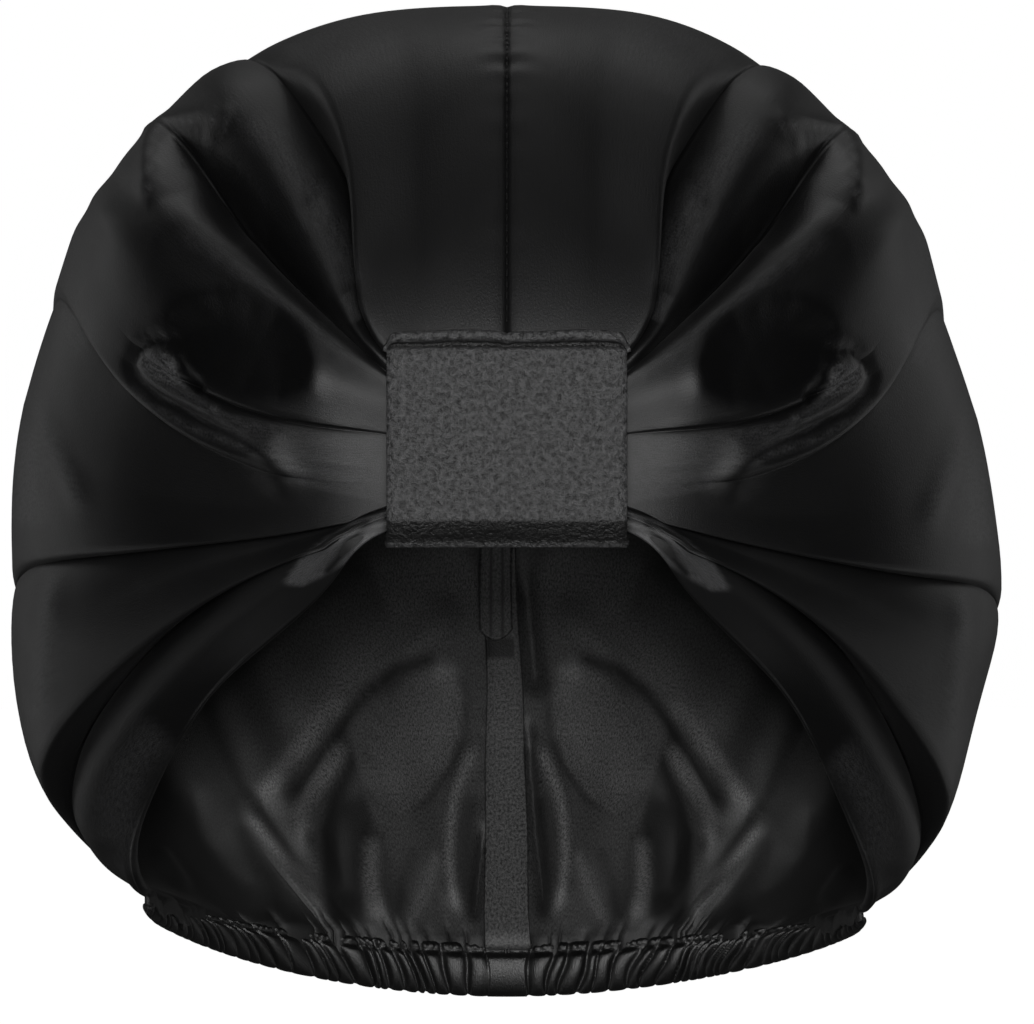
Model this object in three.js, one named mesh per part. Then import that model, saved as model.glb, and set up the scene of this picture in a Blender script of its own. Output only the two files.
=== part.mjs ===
// Satin sleep bonnet, held in the form it has on a head.
// Millimetres. +Z is up, the front loop faces -Y, and X runs from one side of the head to the other.
// The crown is two mirrored panels of satin, sewn together down the middle. Each is gathered into
// the loop at the forehead, and runs back over the head to the elastic casing at the nape.

import * as THREE from 'three';

// ---- driving dimensions ------------------------------------------------------------------------

const WALL = 1.2;            // thickness of the satin panels
const SEW_GAP = 0.3;         // clearance between pieces that are sewn to each other
const LAID_GAP = 0.6;        // clearance under the strip and the tab, which follow a curved seam

const LOOP_WIDTH = 57;       // the band round the gathers at the forehead
const LOOP_TOP = -81.5;      // heights are below the top of the crown
const LOOP_BOTTOM = -131;
const LOOP_FRONT = -115.3;   // y of its front face
const LOOP_WALL = 1.6;
const LOOP_DEPTH = 8.4;      // from its front face to the back of its inner face
const LOOP_INNER_TOP = -100; // the inner face ends here, behind the gathers
const LIP_RADIUS = 1.7;      // the rolled top edge

const NAPE_HALF_WIDTH = 87;  // the elastic's arc, seen from above
const NAPE_FRONT = 4;        // y of its two ends
const NAPE_BACK = 81;        // y of its middle
const CASING_END = { middle: -218.6, halfHeight: 2.4, halfDepth: 1.8 };
const CASING_BACK = { middle: -235.6, halfHeight: 6.7, halfDepth: 2.8 };
const CASING_DROP = 1.5;     // how steeply it drops from its ends to the back

const STRIP_LEFT = -6.5;     // the seam allowance inside, pressed a little to one side
const STRIP_RIGHT = 5;
const STRIP_WALL = 1.2;
const CROWN_TOP = WALL + LAID_GAP + STRIP_WALL;  // above the origin, where the head touches the strip
const STRIP_FROM = 0.16;     // where it starts and ends, as a share of the way from loop to nape
const STRIP_TO = 0.995;

const TAB_LEFT = -8;         // the loose doubled end that lies on the seam allowance
const TAB_RIGHT = 3;
const TAB_FROM = 0.765;
const TAB_TO = 0.832;
const TAB_WALL = 1.8;
const TAB_GAP = 0.45;       // clearance between the tab and the strip

// ---- the panel's form --------------------------------------------------------------------------

// Stations run along the cloth from the loop (0) to the nape (1), which napePoint gives.
const STATIONS = [0, 0.08, 0.2, 0.34, 0.48, 0.62, 0.78, 0.91, 1];

// A row for each line that the cloth follows from the loop to the nape, between the seam
// (across 0) and the edge round the face (across 1), each with its x, y and z at the stations.
const SECTIONS = [
  { name: 'seam', across: 0, nape: 0,
    x: [0, 0, 0, 0, 0, 0, 0, 0],
    y: [-110, -111, -82, -15, 53, 111, 128, 107],
    z: [-92, -80, -26, -1, -8, -52, -132, -190] },
  { name: 'crown', across: 0.22, nape: 20,
    x: [10, 29, 38, 53, 62, 52, 46, 34],
    y: [-110, -111, -87, -35, 32, 97, 113, 97],
    z: [-97, -84, -50, -16, -17, -62, -135, -190] },
  { name: 'hollow', across: 0.33, nape: 30,
    x: [12, 29.5, 50, 75, 86, 84, 70, 50],
    y: [-110, -112, -97, -62, -8, 58, 98, 89],
    z: [-100, -89, -67, -40, -33, -64, -133, -191] },
  { name: 'puff', across: 0.5, nape: 46,
    x: [12, 29.5, 56, 87, 103, 106, 90, 68],
    y: [-110, -112, -103, -72, -18, 40, 80, 78],
    z: [-107, -104, -100, -83, -66, -92, -146, -197] },
  { name: 'cheek', across: 0.7, nape: 62,
    x: [12, 29.5, 55, 88, 113.5, 116, 103, 83],
    y: [-110, -111.5, -101, -76, -28, 22, 58, 63],
    z: [-117, -121, -127, -131, -134, -145, -172, -205] },
  { name: 'drape', across: 0.85, nape: 74,
    x: [12, 29.5, 50, 72, 94, 108, 105, 93],
    y: [-110, -112, -104, -86, -57, -22, 10, 31],
    z: [-122, -125, -133, -144, -162, -181, -199, -212] },
  { name: 'face_edge', across: 1, nape: 87,
    x: [12, 29.5, 42, 58, 72, 83, 90, 88.5],
    y: [-110, -112, -105, -88, -64, -38, -14, -1],
    z: [-124, -127.5, -139.5, -154.5, -168, -186, -205, -214.5] },
];

// Folds lie over that form. Each row is a crest or a hollow: how far across the panel it runs at
// the stations of FOLD_LINE, how high it stands at those of FOLD_HEIGHT, and how sharp it is, from
// 0 for a round one to 1 for a crease.
const FOLD_LINE = [0.08, 0.2, 0.35, 0.5, 0.75];
const FOLD_HEIGHT = [0, 0.08, 0.16, 0.26, 0.36, 0.48, 0.62, 0.76, 0.9, 1];
const FOLDS = [
  { name: 'seam', crease: 0,
    across: [0, 0, 0, 0, 0], height: [0, 0, 0, 0, 0, 0, 0, 0, 0, 0] },
  { name: 'crown_middle', crease: 0,
    across: [0.11, 0.11, 0.11, 0.11, 0.11], height: [0, 0, 1, 1, 0, 0, 0, 0, 0.5, 0] },
  { name: 'crown_lip', crease: 0,
    across: [0.195, 0.187, 0.2, 0.2, 0.17], height: [0, 1, 4, 4, -0.5, -0.5, 0, 0, -0.5, 0] },
  { name: 'first_pleat', crease: 0.5,
    across: [0.228, 0.214, 0.226, 0.235, 0.23], height: [0, -1.5, -10, -11, -3, 0, 0, 0, 0.5, 0] },
  { name: 'small_ridge', crease: 0,
    across: [0.262, 0.272, 0.268, 0.27, 0.28], height: [0, 0, -3, -1, 2, 2.5, 0, 0, -0.5, 0] },
  { name: 'deep_hollow', crease: 0,
    across: [0.325, 0.33, 0.312, 0.31, 0.33], height: [0, -1.5, -10, -14, -7, 0, 0, 0, 0.5, 0] },
  { name: 'hollow_rim', crease: 0,
    across: [0.355, 0.37, 0.38, 0.38, 0.38], height: [0, 0, 1, 3, 3, 1.5, 0, 0, -0.5, 0] },
  { name: 'upper_puff', crease: 0,
    across: [0.43, 0.43, 0.43, 0.43, 0.43], height: [0, 1, 4, 6, 6, 3.5, 1, 0, 0.5, 0] },
  { name: 'curl_pleat', crease: 0.5,
    across: [0.503, 0.501, 0.493, 0.47, 0.475], height: [0, -2, -5, -0.5, 5, 4.9, 1.2, 0, -0.5, 0] },
  { name: 'curl_band', crease: 0,
    across: [0.545, 0.53, 0.511, 0.482, 0.485], height: [0, 0.5, 2, 3.5, 5, 5, 1.5, 0, -0.5, 0] },
  { name: 'puff_edge', crease: 0,
    across: [0.605, 0.57, 0.543, 0.507, 0.51], height: [0, 0.2, 1.5, 2.8, 5, 5.4, 3, 1, 0, 0] },
  { name: 'puff_foot', crease: 0.4,
    across: [0.625, 0.585, 0.556, 0.52, 0.535], height: [0, 0, 0, -1.2, 0, 5, 4, 1, 0.5, 0] },
  { name: 'side_puff', crease: 0,
    across: [0.66, 0.64, 0.62, 0.6, 0.6], height: [0, 0.5, 1, 1, 2, 4.2, 3.5, 1, 0.5, 0] },
  { name: 'side_lip', crease: 0,
    across: [0.708, 0.685, 0.69, 0.692, 0.68], height: [0, 0.5, 2, 3, 3, 2.4, 2.6, 1, -0.5, 0] },
  { name: 'side_pleat', crease: 0.5,
    across: [0.722, 0.702, 0.706, 0.706, 0.706], height: [0, -1, -3, -3, -2, 0, 1.5, 0.5, -0.5, 0] },
  { name: 'lower_drape', crease: 0,
    across: [0.76, 0.76, 0.77, 0.775, 0.78], height: [0, 0, -1, -1, 1.5, 5, 5, 3.4, -0.5, 0] },
  { name: 'drape_lip', crease: 0,
    across: [0.783, 0.798, 0.824, 0.836, 0.845], height: [0, 0.3, 1, 2, 3.5, 4.5, 5, 3.5, -3.5, 0] },
  { name: 'drape_pleat', crease: 0.5,
    across: [0.8, 0.816, 0.841, 0.852, 0.862], height: [0, -0.5, -4, -6, -6, -6, -6, -3, -3, 0] },
  { name: 'edge_drape', crease: 0,
    across: [0.9, 0.92, 0.925, 0.925, 0.93], height: [0, 0, -0.5, -0.5, 0, 0, 0, 0, -1, 0] },
  { name: 'face_edge', crease: 0.3,
    across: [1, 1, 1, 1, 1], height: [0, 0, 0.3, 0.8, 0.8, 0.6, 0.6, 1, 1.5, 0] },
];

const PANEL_ROWS = 27;       // steps along the cloth; across it, the folds and their midpoints
const SAME_ROW = 0.01;       // places nearer than this share of a row are one place
const GATHER_DRAW = 0.9;     // the casing's size between its gathers, as a share of the full one

// ---- curves ------------------------------------------------------------------------------------

// The second derivatives of the smooth curve through the given values, straight at both ends.
function bends(at, values) {
  const last = at.length - 1;
  const bend = new Array(last + 1).fill(0);
  const carry = new Array(last + 1).fill(0);
  for (let i = 1; i < last; i += 1) {
    const share = (at[i] - at[i - 1]) / (at[i + 1] - at[i - 1]);
    const pivot = share * bend[i - 1] + 2;
    bend[i] = (share - 1) / pivot;
    const rise = (values[i + 1] - values[i]) / (at[i + 1] - at[i]);
    const before = (values[i] - values[i - 1]) / (at[i] - at[i - 1]);
    carry[i] = (6 * (rise - before) / (at[i + 1] - at[i - 1]) - share * carry[i - 1]) / pivot;
  }
  bend[last] = 0;
  for (let i = last - 1; i >= 0; i -= 1) {
    bend[i] = bend[i] * bend[i + 1] + carry[i];
  }
  return bend;
}

// A function that gives the smooth curve's value anywhere between the first and last places.
function smoothCurve(at, values) {
  const bend = bends(at, values);
  return (place) => {
    let i = 0;
    while (i < at.length - 2 && place > at[i + 1]) i += 1;
    const step = at[i + 1] - at[i];
    const left = (at[i + 1] - place) / step;
    const right = (place - at[i]) / step;
    const lift = (left ** 3 - left) * bend[i] + (right ** 3 - right) * bend[i + 1];
    return left * values[i] + right * values[i + 1] + lift * step * step / 6;
  };
}

const mix = (from, to, share) => from + (to - from) * share;

// ---- the elastic casing's arc -------------------------------------------------------------------

// Half the casing's sizes at an angle round the nape: 0 at the middle of the back, a quarter turn
// at its ends beside the face.
function casingAt(angle) {
  const toBack = Math.cos(angle);
  const dropped = Math.max(toBack, 0) ** CASING_DROP;
  return {
    centre: new THREE.Vector3(
      NAPE_HALF_WIDTH * Math.sin(angle),
      mix(NAPE_FRONT, NAPE_BACK, toBack),
      mix(CASING_END.middle, CASING_BACK.middle, dropped),
    ),
    halfHeight: mix(CASING_END.halfHeight, CASING_BACK.halfHeight, dropped),
    halfDepth: mix(CASING_END.halfDepth, CASING_BACK.halfDepth, toBack),
  };
}

// The point just above the casing where a line of the panel that is x from the middle ends.
function napePoint(x) {
  const { centre, halfHeight } = casingAt(Math.asin(x / NAPE_HALF_WIDTH));
  return new THREE.Vector3(centre.x, centre.y, centre.z + halfHeight + SEW_GAP);
}

// ---- the panel's surface ------------------------------------------------------------------------

const sectionCurves = SECTIONS.map(({ across, nape, x, y, z }) => {
  const end = napePoint(nape);
  return {
    across,
    x: smoothCurve(STATIONS, [...x, end.x]),
    y: smoothCurve(STATIONS, [...y, end.y]),
    z: smoothCurve(STATIONS, [...z, end.z]),
  };
});

// The right panel's plain form without folds. Its lines are mirrored over the seam, so that the
// form crosses it smoothly.
function plainForm(along) {
  const mirrored = sectionCurves.slice(1).reverse();
  const at = [...mirrored.map((s) => -s.across), ...sectionCurves.map((s) => s.across)];
  const both = (axis, sign) => [
    ...mirrored.map((s) => sign * s[axis](along)),
    ...sectionCurves.map((s) => s[axis](along)),
  ];
  const x = smoothCurve(at, both('x', -1));
  const y = smoothCurve(at, both('y', 1));
  const z = smoothCurve(at, both('z', 1));
  return (across) => new THREE.Vector3(x(across), y(across), z(across));
}

// The outward direction of the plain form.
function outward(along, across) {
  const small = 1e-3;
  const here = plainForm(along);
  const sideways = here(Math.min(across + small, 1)).sub(here(Math.max(across - small, -1)));
  const ahead = plainForm(Math.min(along + small, 1))(across);
  const lengthways = ahead.sub(plainForm(Math.max(along - small, 0))(across));
  return sideways.cross(lengthways).normalize();
}

const foldCurves = FOLDS.map((fold) => ({
  ...fold,
  lineAt: smoothCurve(FOLD_LINE, fold.across),
  heightAt: smoothCurve(FOLD_HEIGHT, fold.height),
}));

// How far a fold has turned from one row's height to the next, a share of the way between them.
function foldShare(share, creaseBefore, creaseAfter) {
  const round = share * share * (3 - 2 * share);
  const intoCrease = 1 - Math.sqrt(1 - share * share);
  const outOfCrease = Math.sqrt(1 - (1 - share) ** 2);
  if (creaseAfter > 0) return mix(round, intoCrease, creaseAfter);
  return mix(round, outOfCrease, creaseBefore);
}

// One row of the panel: its outer and inner points from the seam to the face edge, with a point on
// each fold and one midway to the next.
function panelRow(along) {
  const form = plainForm(along);
  const folds = foldCurves.map((fold) => ({
    across: fold.lineAt(along), height: fold.heightAt(along), crease: fold.crease,
  }));
  const places = [];
  folds.forEach((fold, i) => {
    places.push({ across: fold.across, height: fold.height });
    if (i === folds.length - 1) return;
    const next = folds[i + 1];
    const height = mix(fold.height, next.height, foldShare(0.5, fold.crease, next.crease));
    places.push({ across: mix(fold.across, next.across, 0.5), height });
  });
  const outer = [];
  const inner = [];
  for (const { across, height } of places) {
    const normal = outward(along, across);
    const point = form(across).addScaledVector(normal, height);
    const under = point.clone().addScaledVector(normal, -WALL);
    for (const p of [point, under]) p.x = Math.max(p.x, SEW_GAP / 2);
    outer.push(point);
    inner.push(under);
  }
  return { outer, inner };
}

// ---- solids -------------------------------------------------------------------------------------

// A closed wall between two grids of points that match row for row.
function wallSolid(outer, inner) {
  const rows = outer.length;
  const columns = outer[0].length;
  const points = [...outer.flat(), ...inner.flat()];
  const at = (layer, row, column) => layer * rows * columns + row * columns + column;
  const faces = [];
  const quad = (a, b, c, d) => faces.push(a, b, c, a, c, d);
  for (let row = 0; row < rows - 1; row += 1) {
    for (let column = 0; column < columns - 1; column += 1) {
      const corners = [[row, column], [row, column + 1], [row + 1, column + 1], [row + 1, column]];
      quad(...corners.map(([r, c]) => at(0, r, c)));
      quad(...corners.map(([r, c]) => at(1, r, c)).reverse());
    }
  }
  for (let row = 0; row < rows - 1; row += 1) {
    quad(at(0, row, 0), at(0, row + 1, 0), at(1, row + 1, 0), at(1, row, 0));
    const edge = columns - 1;
    quad(at(0, row + 1, edge), at(0, row, edge), at(1, row, edge), at(1, row + 1, edge));
  }
  for (let column = 0; column < columns - 1; column += 1) {
    quad(at(0, 0, column + 1), at(0, 0, column), at(1, 0, column), at(1, 0, column + 1));
    const end = rows - 1;
    quad(at(0, end, column), at(0, end, column + 1), at(1, end, column + 1), at(1, end, column));
  }
  return solidFrom(points, faces);
}

// A closed tube through rings of points, with flat ends.
function tubeSolid(rings) {
  const sides = rings[0].length;
  const points = rings.flat();
  const faces = [];
  for (let ring = 0; ring < rings.length - 1; ring += 1) {
    for (let side = 0; side < sides; side += 1) {
      const next = (side + 1) % sides;
      const [a, b] = [ring * sides + side, ring * sides + next];
      faces.push(a, b, b + sides, a, b + sides, a + sides);
    }
  }
  const last = (rings.length - 1) * sides;
  for (let side = 1; side < sides - 1; side += 1) {
    faces.push(0, side + 1, side);
    faces.push(last, last + side, last + side + 1);
  }
  return solidFrom(points, faces);
}

// Geometry with its faces turned outward, whichever way round they were listed.
function solidFrom(points, faces) {
  let volume = 0;
  for (let i = 0; i < faces.length; i += 3) {
    const [a, b, c] = [points[faces[i]], points[faces[i + 1]], points[faces[i + 2]]];
    volume += a.dot(b.clone().cross(c));
  }
  const geometry = new THREE.BufferGeometry();
  const numbers = points.flatMap((p) => p.toArray());
  geometry.setAttribute('position', new THREE.Float32BufferAttribute(numbers, 3));
  geometry.setIndex(volume < 0 ? faces.slice().reverse() : faces);
  geometry.computeVertexNormals();
  return geometry;
}

const mirror = (points) => points.map((row) => row.map((p) => new THREE.Vector3(-p.x, p.y, p.z)));

// ---- pieces -------------------------------------------------------------------------------------

function panelSolid(side) {
  const rows = Array.from({ length: PANEL_ROWS + 1 }, (_, i) => panelRow(i / PANEL_ROWS));
  const outer = rows.map((row) => row.outer);
  const inner = rows.map((row) => row.inner);
  return side > 0 ? wallSolid(outer, inner) : wallSolid(mirror(outer), mirror(inner));
}

// The points of a strip inside the centre seam, on one of the panel's rows.
function seamLine(row, x, depth) {
  const along = row / PANEL_ROWS;
  const form = plainForm(along);
  const crown = SECTIONS[1].across;
  const across = crown * x / form(crown).x;
  const [seam, middle] = foldCurves;
  const share = Math.abs(across) / middle.lineAt(along);
  const height = middle.heightAt(along) * foldShare(share, seam.crease, middle.crease);
  return form(across).addScaledVector(outward(along, across), height - depth);
}

// A flat strip inside the centre seam. Between the panel's rows it runs straight, as they do.
function seamStrip({ left, right, from, to, depth, wall, columns }) {
  const rows = [from * PANEL_ROWS];
  const first = Math.ceil(rows[0] + SAME_ROW);
  for (let row = first; row < to * PANEL_ROWS - SAME_ROW; row += 1) rows.push(row);
  rows.push(to * PANEL_ROWS);
  const layer = (below) => rows.map((row) => {
    const line = [];
    for (let column = 0; column <= columns; column += 1) {
      const x = mix(left, right, column / columns);
      const before = seamLine(Math.floor(row), x, below);
      const after = seamLine(Math.ceil(row), x, below);
      line.push(before.lerp(after, row - Math.floor(row)));
    }
    return line;
  });
  return wallSolid(layer(depth), layer(depth + wall));
}

// The loop's section: the rolled top edge, the front face, the turn at the bottom and the inner face.
function loopSolid() {
  const bend = LOOP_DEPTH / 2;
  const steps = 8;
  const front = [];
  const back = [];
  const bendAt = { y: LOOP_FRONT + bend, z: LOOP_BOTTOM + bend };
  for (let i = 0; i <= steps; i += 1) {
    const angle = Math.PI + Math.PI * i / steps;
    const ray = [Math.cos(angle), Math.sin(angle)];
    front.push([bendAt.y + bend * ray[0], bendAt.z + bend * ray[1]]);
    back.push([bendAt.y + (bend - LOOP_WALL) * ray[0], bendAt.z + (bend - LOOP_WALL) * ray[1]]);
  }
  const lip = [];
  const lipAt = { y: LOOP_FRONT + LOOP_WALL / 2, z: LOOP_TOP };
  const start = Math.asin(LOOP_WALL / 2 / LIP_RADIUS) - Math.PI / 2;
  const sweep = 2 * Math.PI - 2 * (start + Math.PI / 2);
  for (let i = 0; i <= 2 * steps; i += 1) {
    const angle = start + sweep * i / (2 * steps);
    lip.push([lipAt.y + LIP_RADIUS * Math.cos(angle), lipAt.z + LIP_RADIUS * Math.sin(angle)]);
  }
  const innerY = LOOP_FRONT + LOOP_DEPTH;
  const outline = [
    ...lip,
    ...front,
    [innerY, LOOP_INNER_TOP],
    [innerY - LOOP_WALL, LOOP_INNER_TOP],
    ...back.reverse(),
  ];
  const section = new THREE.Shape(outline.map(([y, z]) => new THREE.Vector2(y, z)));
  const geometry = new THREE.ExtrudeGeometry(section, { depth: LOOP_WIDTH, bevelEnabled: false });
  geometry.translate(0, 0, -LOOP_WIDTH / 2);
  const toUpright = new THREE.Matrix4().makeBasis(
    new THREE.Vector3(0, 1, 0), new THREE.Vector3(0, 0, 1), new THREE.Vector3(1, 0, 0),
  );
  return geometry.applyMatrix4(toUpright);
}

// The casing: an upright oval tube round the nape, drawn in a little between its gathers.
function casingSolid() {
  const steps = 44;
  const sides = 8;
  const rings = [];
  for (let i = 0; i <= steps; i += 1) {
    const angle = mix(-Math.PI / 2, Math.PI / 2, i / steps);
    const { centre, halfHeight, halfDepth } = casingAt(angle);
    const out = new THREE.Vector3(Math.sin(angle), Math.cos(angle), 0);
    const gather = i % 2 === 0 ? 1 : GATHER_DRAW;
    const ring = [];
    for (let j = 0; j < sides; j += 1) {
      const turn = 2 * Math.PI * j / sides;
      const point = centre.clone().addScaledVector(out, halfDepth * gather * Math.cos(turn));
      point.z += halfHeight * gather * Math.sin(turn);
      ring.push(point);
    }
    rings.push(ring);
  }
  return tubeSolid(rings);
}

// ---- the bonnet ---------------------------------------------------------------------------------

const satin = { color: 0x1c1c1d, roughness: 0.42, metalness: 0 };
const satinFace = { color: 0x2a2a2b, roughness: 0.5, metalness: 0 };
const satinInside = { color: 0x232221, roughness: 0.48, metalness: 0 };

function piece(name, geometry, finish) {
  const mesh = new THREE.Mesh(geometry, new THREE.MeshStandardMaterial(finish));
  mesh.name = name;
  return mesh;
}

const stripDepth = WALL + LAID_GAP;
const strip = {
  left: STRIP_LEFT, right: STRIP_RIGHT, from: STRIP_FROM, to: STRIP_TO,
  depth: stripDepth, wall: STRIP_WALL, columns: 2,
};
const tab = {
  left: TAB_LEFT, right: TAB_RIGHT, from: TAB_FROM, to: TAB_TO,
  depth: stripDepth + STRIP_WALL + TAB_GAP, wall: TAB_WALL, columns: 4,
};

const bonnet = new THREE.Group();
bonnet.position.z = CROWN_TOP;
bonnet.add(
  piece('crown_left', panelSolid(-1), satin),
  piece('crown_right', panelSolid(1), satin),
  piece('front_loop', loopSolid(), satinFace),
  piece('nape_casing', casingSolid(), satin),
  piece('seam_allowance', seamStrip(strip), satinInside),
  piece('seam_tab', seamStrip(tab), satinInside),
);

export default bonnet;
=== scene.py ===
"""Satin sleep bonnet: its cloth, folds and finish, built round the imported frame.

Sizes are in millimetres until a piece is placed, and heights count down from the top of the crown.
The panel's lines, its folds, the loop, the casing and the strip have the sizes of the part's
source. What is added here is what those solids are too coarse for.
"""

import logging
import math
from contextlib import contextmanager
from dataclasses import dataclass, replace
from enum import Enum
from typing import Iterator, Sequence

import bmesh
import bpy
import numpy as np
from mathutils import Matrix, Vector


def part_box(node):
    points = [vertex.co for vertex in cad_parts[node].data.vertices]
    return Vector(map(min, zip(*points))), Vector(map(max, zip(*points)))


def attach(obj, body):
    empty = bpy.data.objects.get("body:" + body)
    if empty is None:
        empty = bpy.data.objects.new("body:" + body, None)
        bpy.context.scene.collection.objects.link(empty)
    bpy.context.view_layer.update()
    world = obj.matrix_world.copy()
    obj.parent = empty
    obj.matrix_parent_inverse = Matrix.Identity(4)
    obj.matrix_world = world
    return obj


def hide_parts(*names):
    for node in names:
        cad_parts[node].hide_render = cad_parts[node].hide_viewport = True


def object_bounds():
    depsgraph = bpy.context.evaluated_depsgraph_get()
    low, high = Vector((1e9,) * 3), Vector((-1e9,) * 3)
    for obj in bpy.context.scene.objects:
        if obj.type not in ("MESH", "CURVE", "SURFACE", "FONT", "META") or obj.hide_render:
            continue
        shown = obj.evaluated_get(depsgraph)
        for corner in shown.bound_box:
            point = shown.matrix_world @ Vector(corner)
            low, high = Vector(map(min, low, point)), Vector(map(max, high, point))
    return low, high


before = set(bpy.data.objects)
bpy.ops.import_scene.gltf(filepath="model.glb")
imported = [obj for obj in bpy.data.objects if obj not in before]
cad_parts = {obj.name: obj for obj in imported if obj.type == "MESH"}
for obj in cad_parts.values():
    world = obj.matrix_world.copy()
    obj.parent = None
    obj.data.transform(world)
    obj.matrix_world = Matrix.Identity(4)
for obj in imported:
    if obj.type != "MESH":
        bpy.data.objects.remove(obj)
CAD_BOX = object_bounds()

LOG = logging.getLogger("bonnet")
Places = tuple[tuple[float, float], ...]
MM = 0.001
CLOTH_MAP = "cloth"          # the UV map that every piece of cloth carries, in metres of cloth
CLOTH_LENGTH = 360.0         # the cloth's way from the loop over the crown to the nape
CLOTH_WIDTH = 300.0          # its way from the seam to the face edge, with the pleats opened
VIEW_DISTANCE = 5000.0       # the camera's distance in front of the head's middle
VIEW_HEIGHT = -122.9         # its height
VIEW_RIGHT = 2.4             # how far to the right it stands
VIEW_WIDTH = 250.6           # what its view spans there


# ---- curves ------------------------------------------------------------------------------------


def spline_weights(at: Sequence[float], places: np.ndarray) -> np.ndarray:
    """Gives the weights that turn values at fixed places into a smooth curve through them.

    Args:
        at: the places that have values, in rising order.
        places: where the curve is read, in any shape.

    Returns:
        One weight for each value, along a new last axis: the natural cubic through the values.
    """
    at = np.asarray(at, float)
    places = np.clip(places, at[0], at[-1])
    step = np.diff(at)
    count = len(at)
    left_side = np.eye(count)
    right_side = np.zeros((count, count))
    for i in range(1, count - 1):
        left_side[i, i - 1:i + 2] = step[i - 1], 2 * (step[i - 1] + step[i]), step[i]
        before, after = 6 / step[i - 1], 6 / step[i]
        right_side[i, i - 1:i + 2] = before, -before - after, after
    bend = np.linalg.solve(left_side, right_side)
    k = np.clip(np.searchsorted(at, places) - 1, 0, count - 2)
    left = (at[k + 1] - places) / step[k]
    right = 1 - left
    lift_left = ((left ** 3 - left) * step[k] ** 2 / 6)[..., None]
    lift_right = ((right ** 3 - right) * step[k] ** 2 / 6)[..., None]
    unit = np.eye(count)
    straight = left[..., None] * unit[k] + right[..., None] * unit[k + 1]
    return straight + lift_left * bend[k] + lift_right * bend[k + 1]


def ramp(value: np.ndarray, start: float, end: float) -> np.ndarray:
    """Rises smoothly from 0 at start to 1 at end, or falls where end is the smaller."""
    share = np.clip((value - start) / (end - start), 0, 1)
    return share * share * (3 - 2 * share)


def mix(low: float, high: float, share: np.ndarray) -> np.ndarray:
    """Gives low where share is 0 and high where it is 1."""
    return low + (high - low) * share


def steady_curve(places: Sequence[float], values: Sequence[float], at: np.ndarray) -> np.ndarray:
    """Follows values smoothly, and never rises or falls past them between their places.

    Args:
        places: where the values stand, in rising order.
        values: the values.
        at: where the curve is wanted.

    Returns:
        The curve's values there.
    """
    step, rise = np.diff(places), np.diff(values)
    slope = rise / step
    before, after = slope[:-1], slope[1:]
    with np.errstate(divide="ignore", invalid="ignore"):
        middle = np.where(before * after > 0, 2 * before * after / (before + after), 0)
    tangent = np.concatenate([[slope[0]], middle, [slope[-1]]])
    i = np.clip(np.searchsorted(places, at, side="right") - 1, 0, len(step) - 1)
    share = (at - np.asarray(places)[i]) / step[i]
    eased = share * share * (3 - 2 * share)
    start = np.asarray(values, float)[i]
    return (start + rise[i] * eased + step[i] * share * (1 - share)
            * (tangent[i] * (1 - share) - tangent[i + 1] * share))


def way_along(points: np.ndarray) -> np.ndarray:
    """Gives how far along a line of points each of them lies."""
    steps = np.linalg.norm(np.diff(points, axis=0), axis=1)
    return np.concatenate([[0], np.cumsum(steps)])


def lopside(points: np.ndarray) -> np.ndarray:
    """Lets the right side hang a little narrower and lower than the left, as worn cloth does.

    Args:
        points: points in millimetres.

    Returns:
        The points, with those towards the right edge drawn in and let down.
    """
    weights = spline_weights([row[0] for row in LOPSIDED], -points[..., 2])
    drawn_in, let_down = (weights @ np.array([row[i] for row in LOPSIDED]) for i in (1, 2))
    share = ramp(points[..., 0], 25, 105)
    moved = points.copy()
    moved[..., 0] *= 1 - drawn_in * share
    moved[..., 2] -= let_down * share
    return moved


# ---- the panel's form --------------------------------------------------------------------------

# Stations run along the cloth from the loop (0) to the nape (1).
STATIONS = (0, 0.08, 0.2, 0.34, 0.48, 0.62, 0.78, 0.91, 1)
FRONT_END = 0.6              # where the part seen from outside ends and the inside begins

NAPE_HALF_WIDTH = 87.0
NAPE_FRONT = 4.0
NAPE_BACK = 81.0
CASING_END_HEIGHT = -218.6
CASING_BACK_HEIGHT = -235.6
CASING_DROP = 1.5            # how steeply it drops from its ends to the back
NAPE_HALF_LENGTH = 150.0     # a little more than the casing's length from its middle to an end
SEW_GAP = 0.3
SEAM_HALF_GAP = 0.04
SEAM_TURNS = (1.6, 0.8)      # how deep the cloth turns in beside the seam, at each added column


@dataclass(frozen=True)
class Line:
    """A line that the cloth follows from the loop to the nape.

    Attributes:
        name: what runs there.
        across: its place between the centre seam (0) and the edge round the face (1).
        nape: how far from the middle it ends at the nape.
        x: distance from the middle at each station but the last.
        y: depth, from the face (negative) to the back of the head.
        z: height below the top of the crown.
    """

    name: str
    across: float
    nape: float
    x: tuple[float, ...]
    y: tuple[float, ...]
    z: tuple[float, ...]


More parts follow.
